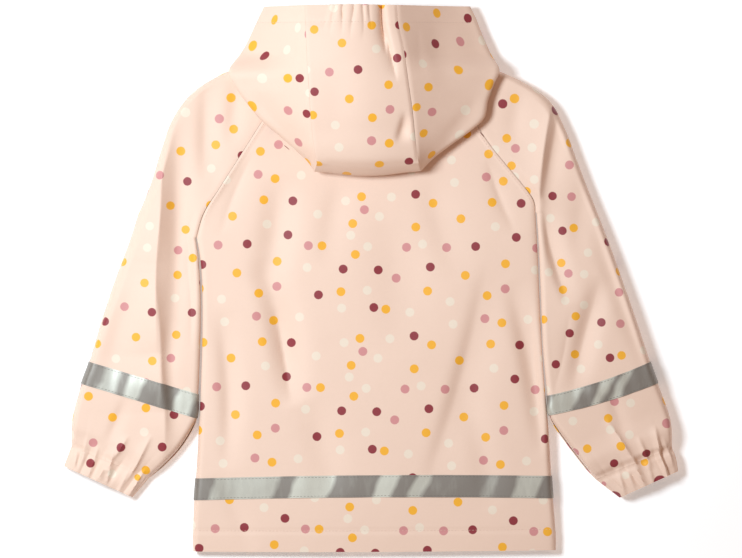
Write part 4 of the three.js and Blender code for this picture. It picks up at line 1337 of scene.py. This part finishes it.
class RAINCOAT_OT_body(bpy.types.Operator):
    """Makes the back and the two lapped fronts, with their tape."""

    bl_idname = "raincoat.body"
    bl_label = "Body"

    def execute(self, context):
        panel, rows = back_panel()
        middle = panel.points.shape[1] // 2
        start = panel.points[0, middle]
        x, y, turn = PRINT_PLACE["back"]
        place = (start[0] - PRINT_ORIGIN[0] + x, start[1] - PRINT_ORIGIN[1] + y, 90 + turn)
        last = len(panel.points) - 1
        cloth_piece("back_cloth", "back", panel, cloth_looks(),
                    place, ((0, middle), (last, middle)))
        add_tape("back_tape", "tape_back", panel, rows["at"])
        for side in ("left", "right"):
            front, front_rows = front_panel(side)
            x, y, turn = PRINT_PLACE["front_" + side]
            centre = front.points.shape[1] // 2
            cloth_piece(f"front_{side}_cloth", "front_" + side, front, cloth_looks(),
                        (x, y, 90 + turn), ((0, centre), (len(front.points) - 1, centre)))
            tape_node = "tape_front_" + side
            add_tape(f"front_{side}_tape", tape_node, front, front_rows["at"], lower=True)
        return {"FINISHED"}


class RAINCOAT_OT_sleeves(bpy.types.Operator):
    """Makes the four sleeve panels and their tape."""

    bl_idname = "raincoat.sleeves"
    bl_label = "Sleeves"

    def execute(self, context):
        for side in ("left", "right"):
            for upper, part in ((True, "back"), (False, "front")):
                panel, at = sleeve_panel(side, upper)
                node = f"sleeve_{side}_{part}"
                x, y, turn = PRINT_PLACE[node]
                centre = panel.points.shape[1] // 2
                cloth_piece(node + "_cloth", node, panel, cloth_looks(),
                            (x, y, 90 + turn), ((0, centre), (len(panel.points) - 1, centre)))
                add_tape(node + "_tape", "tape_" + node, panel, at, lower=not upper)
        return {"FINISHED"}


class RAINCOAT_OT_cuffs(bpy.types.Operator):
    """Makes the two gathered cuffs."""

    bl_idname = "raincoat.cuffs"
    bl_label = "Cuffs"

    def execute(self, context):
        for side in ("left", "right"):
            node = "cuff_" + side
            x, y, turn = PRINT_PLACE[node]
            panel = cuff_panel(side)
            top = panel.points.shape[1] // 4
            cloth_piece(node + "_cloth", node, panel, cloth_looks(),
                        (x, y, 90 + turn), ((0, top), (CUFF_ROWS, top)))
        return {"FINISHED"}


class RAINCOAT_OT_hood(bpy.types.Operator):
    """Makes the three pieces of the hood."""

    bl_idname = "raincoat.hood"
    bl_label = "Hood"

    def execute(self, context):
        for side in ("left", "right"):
            panel = hood_side(side)
            x, y, turn = PRINT_PLACE["hood_" + side]
            row = NAPE_STATION * HOOD_ROW_STEPS
            cloth_piece(f"hood_{side}_cloth", "hood_" + side, panel, cloth_looks(),
                        (x, y, -90 + turn), ((0, 0), (row, 0), "MINIMUM_STRETCH"))
        panel = hood_centre()
        x, y, turn = PRINT_PLACE["hood_centre"]
        centre = panel.points.shape[1] // 2
        cloth_piece("hood_centre_cloth", "hood_centre", panel, cloth_looks(),
                    (x, y, -90 + turn), ((0, centre), (len(hood_rows()) - 1, centre)))
        return {"FINISHED"}


class RAINCOAT_OT_sewing(bpy.types.Operator):
    """Makes the stitch lines of the hem, the raglan seams and the casings."""

    bl_idname = "raincoat.sewing"
    bl_label = "Sewing"

    def execute(self, context):
        thread = look("cloth_thread")
        panel, rows = back_panel()
        stitch_row("hem_stitch_back", *line_up(panel, sizes().hem, 0.02, 0.98), thread, "cloth")
        climbing = np.flatnonzero(rows["climb"] > RAGLAN_STITCH_START)
        for side, from_end in (("left", False), ("right", True)):
            path = line_beside(panel, RAGLAN_STITCH, climbing, from_end)
            stitch_row(f"raglan_stitch_{side}", *path, thread, "cloth")
            hood = hood_side(side)
            over = slice(0, HOOD_OVER_STEPS + ROLL_STEPS - 1)
            row = int(np.argmin(np.abs(hood.points[:, 0, 1] - (BROW_EDGE - CASING_DROP))))
            path = (hood.points[row, over], hood.normals()[row, over])
            stitch_row(f"casing_stitch_{side}", *path, thread, "cloth")
            ends = np.array([(*end, back_height(panel, end)) for end in THREAD_ENDS[side]])
            up = np.tile([0.0, 0.0, 1.0], (2, 1))
            stitch_row(f"thread_end_{side}", ends, up, look("dark_thread"), "cloth", length=THREAD_END)
        crown = hood_centre()
        row = int(np.argmin(np.abs(crown.points[:len(hood_rows()), 0, 1] - (BROW_EDGE - CASING_DROP))))
        stitch_row("casing_stitch_crown", crown.points[row], crown.normals()[row], thread, "cloth")
        return {"FINISHED"}


class RAINCOAT_OT_snaps(bpy.types.Operator):
    """Makes the snap caps on the lapped fronts."""

    bl_idname = "raincoat.snaps"
    bl_label = "Snaps"

    def execute(self, context):
        for i in range(SNAPS):
            node = f"snap_{i + 1}"
            low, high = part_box(node)
            centre = (low + high) / 2
            bpy.ops.object.select_all(action="DESELECT")
            bpy.ops.mesh.primitive_cylinder_add(
                vertices=32, radius=CAP_RADIUS * MM, depth=CAP_HEIGHT * MM, location=centre)
            cap = bpy.context.active_object
            cap.name = f"snap_cap_{i + 1}"
            only(cap)
            bpy.ops.object.transform_apply(location=True, rotation=False, scale=False)
            bpy.ops.object.mode_set(mode="EDIT")
            bpy.ops.mesh.select_mode(type="FACE")
            bpy.ops.mesh.select_all(action="DESELECT")
            bpy.ops.object.mode_set(mode="OBJECT")
            for face in cap.data.polygons:
                face.select = face.normal.z < -0.9
            bpy.ops.object.mode_set(mode="EDIT")
            bpy.ops.mesh.inset(thickness=CAP_RADIUS * 0.28 * MM)
            bpy.ops.transform.translate(value=(0, 0, 0.3 * MM))
            bpy.ops.mesh.inset(thickness=CAP_RADIUS * 0.12 * MM)
            bpy.ops.object.mode_set(mode="OBJECT")
            bevel = cap.modifiers.new("Edges", "BEVEL")
            bevel.width = 0.15 * MM
            bevel.segments = 2
            bpy.ops.object.modifier_apply(modifier=bevel.name)
            bpy.ops.object.shade_smooth_by_angle(angle=math.radians(35))
            cap.data.materials.append(look("snap_plastic"))
            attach(cap, "root")
            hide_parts(node)
        return {"FINISHED"}


CAMERA_HEIGHT = 9.0
SENSOR = 36.0
VIEW_WIDTH = 0.742  # width of the floor that the camera sees
FLOOR_GLOW = 0.27
FILL_COLOUR = (1.0, 0.71, 0.57, 1.0)
FILL_STRENGTH = 0.36
KEY_SIZE = 0.5
KEY_ENERGY = 22.5
KEY_COLOUR = (0.905, 1.045, 1.14)
KEY_PLACE = (-0.75, 0.27, 1.4)


class RAINCOAT_OT_stage(bpy.types.Operator):
    """Makes the floor, the soft studio light and the camera."""

    bl_idname = "raincoat.stage"
    bl_label = "Stage"

    def execute(self, context):
        scene = context.scene
        bpy.ops.object.select_all(action="DESELECT")
        bpy.ops.mesh.primitive_plane_add(size=12, location=(0, 0, -0.0004))
        floor = context.active_object
        floor.name = "floor"
        material, tree, shader = new_material("floor_paper")
        place = fabric_place(tree)
        tone = colours().floor
        grain = tree.noise(place, 300.0, 2.0)
        colour = tree.mix(tree.ramp(grain, 0.3, 0.7, 0.0, 0.3), rgba(tone), rgba(tone, 0.985))
        tree.tree.links.new(colour, shader.inputs["Base Color"])
        shader.inputs["Roughness"].default_value = 0.9
        shader.inputs["Emission Color"].default_value = (1.0, 1.0, 1.0, 1.0)
        shader.inputs["Emission Strength"].default_value = FLOOR_GLOW
        floor.data.materials.append(material)

        world = bpy.data.worlds.new("studio")
        world.use_nodes = True
        background = next(n for n in world.node_tree.nodes if n.type == "BACKGROUND")
        background.inputs["Color"].default_value = FILL_COLOUR
        background.inputs["Strength"].default_value = FILL_STRENGTH
        scene.world = world

        lamp = bpy.data.lights.new("key", "AREA")
        lamp.shape = "DISK"
        lamp.size = KEY_SIZE
        lamp.energy = KEY_ENERGY
        lamp.color = KEY_COLOUR
        key = bpy.data.objects.new("key", lamp)
        key.location = KEY_PLACE
        key.rotation_euler = (-key.location).to_track_quat("-Z", "Y").to_euler()
        scene.collection.objects.link(key)

        camera = bpy.data.cameras.new("camera")
        camera.sensor_width = SENSOR
        camera.lens = SENSOR * CAMERA_HEIGHT / VIEW_WIDTH
        camera.clip_end = 100
        eye = bpy.data.objects.new("camera", camera)
        eye.location = (0, 0, CAMERA_HEIGHT)
        scene.collection.objects.link(eye)
        scene.camera = eye
        scene.view_settings.view_transform = "Standard"
        return {"FINISHED"}


OPERATORS = (
    RAINCOAT_OT_body,
    RAINCOAT_OT_sleeves,
    RAINCOAT_OT_cuffs,
    RAINCOAT_OT_hood,
    RAINCOAT_OT_sewing,
    RAINCOAT_OT_snaps,
    RAINCOAT_OT_stage,
)


class RAINCOAT_PT_panel(bpy.types.Panel):
    """Lists the coat's pieces."""

    bl_label = "Raincoat"
    bl_idname = "RAINCOAT_PT_panel"
    bl_space_type = "VIEW_3D"
    bl_region_type = "UI"
    bl_category = "Raincoat"

    def draw(self, context):
        for operator in OPERATORS:
            self.layout.operator(operator.bl_idname)
        for group in (context.scene.raincoat_sizes, context.scene.raincoat_colours):
            box = self.layout.box()
            for name in group.bl_rna.properties.keys():
                if name not in ("rna_type", "name"):
                    box.prop(group, name)


CLASSES = (RaincoatSizes, RaincoatColours, *OPERATORS, RAINCOAT_PT_panel)


def register():
    for cls in CLASSES:
        bpy.utils.register_class(cls)
    bpy.types.Scene.raincoat_sizes = bpy.props.PointerProperty(type=RaincoatSizes)
    bpy.types.Scene.raincoat_colours = bpy.props.PointerProperty(type=RaincoatColours)


def unregister():
    del bpy.types.Scene.raincoat_colours
    del bpy.types.Scene.raincoat_sizes
    for cls in reversed(CLASSES):
        bpy.utils.unregister_class(cls)


def main():
    register()
    bpy.ops.raincoat.body()
    bpy.ops.raincoat.sleeves()
    bpy.ops.raincoat.cuffs()
    bpy.ops.raincoat.hood()
    bpy.ops.raincoat.sewing()
    bpy.ops.raincoat.snaps()
    bpy.ops.raincoat.stage()


if __name__ == "__main__":
    main()
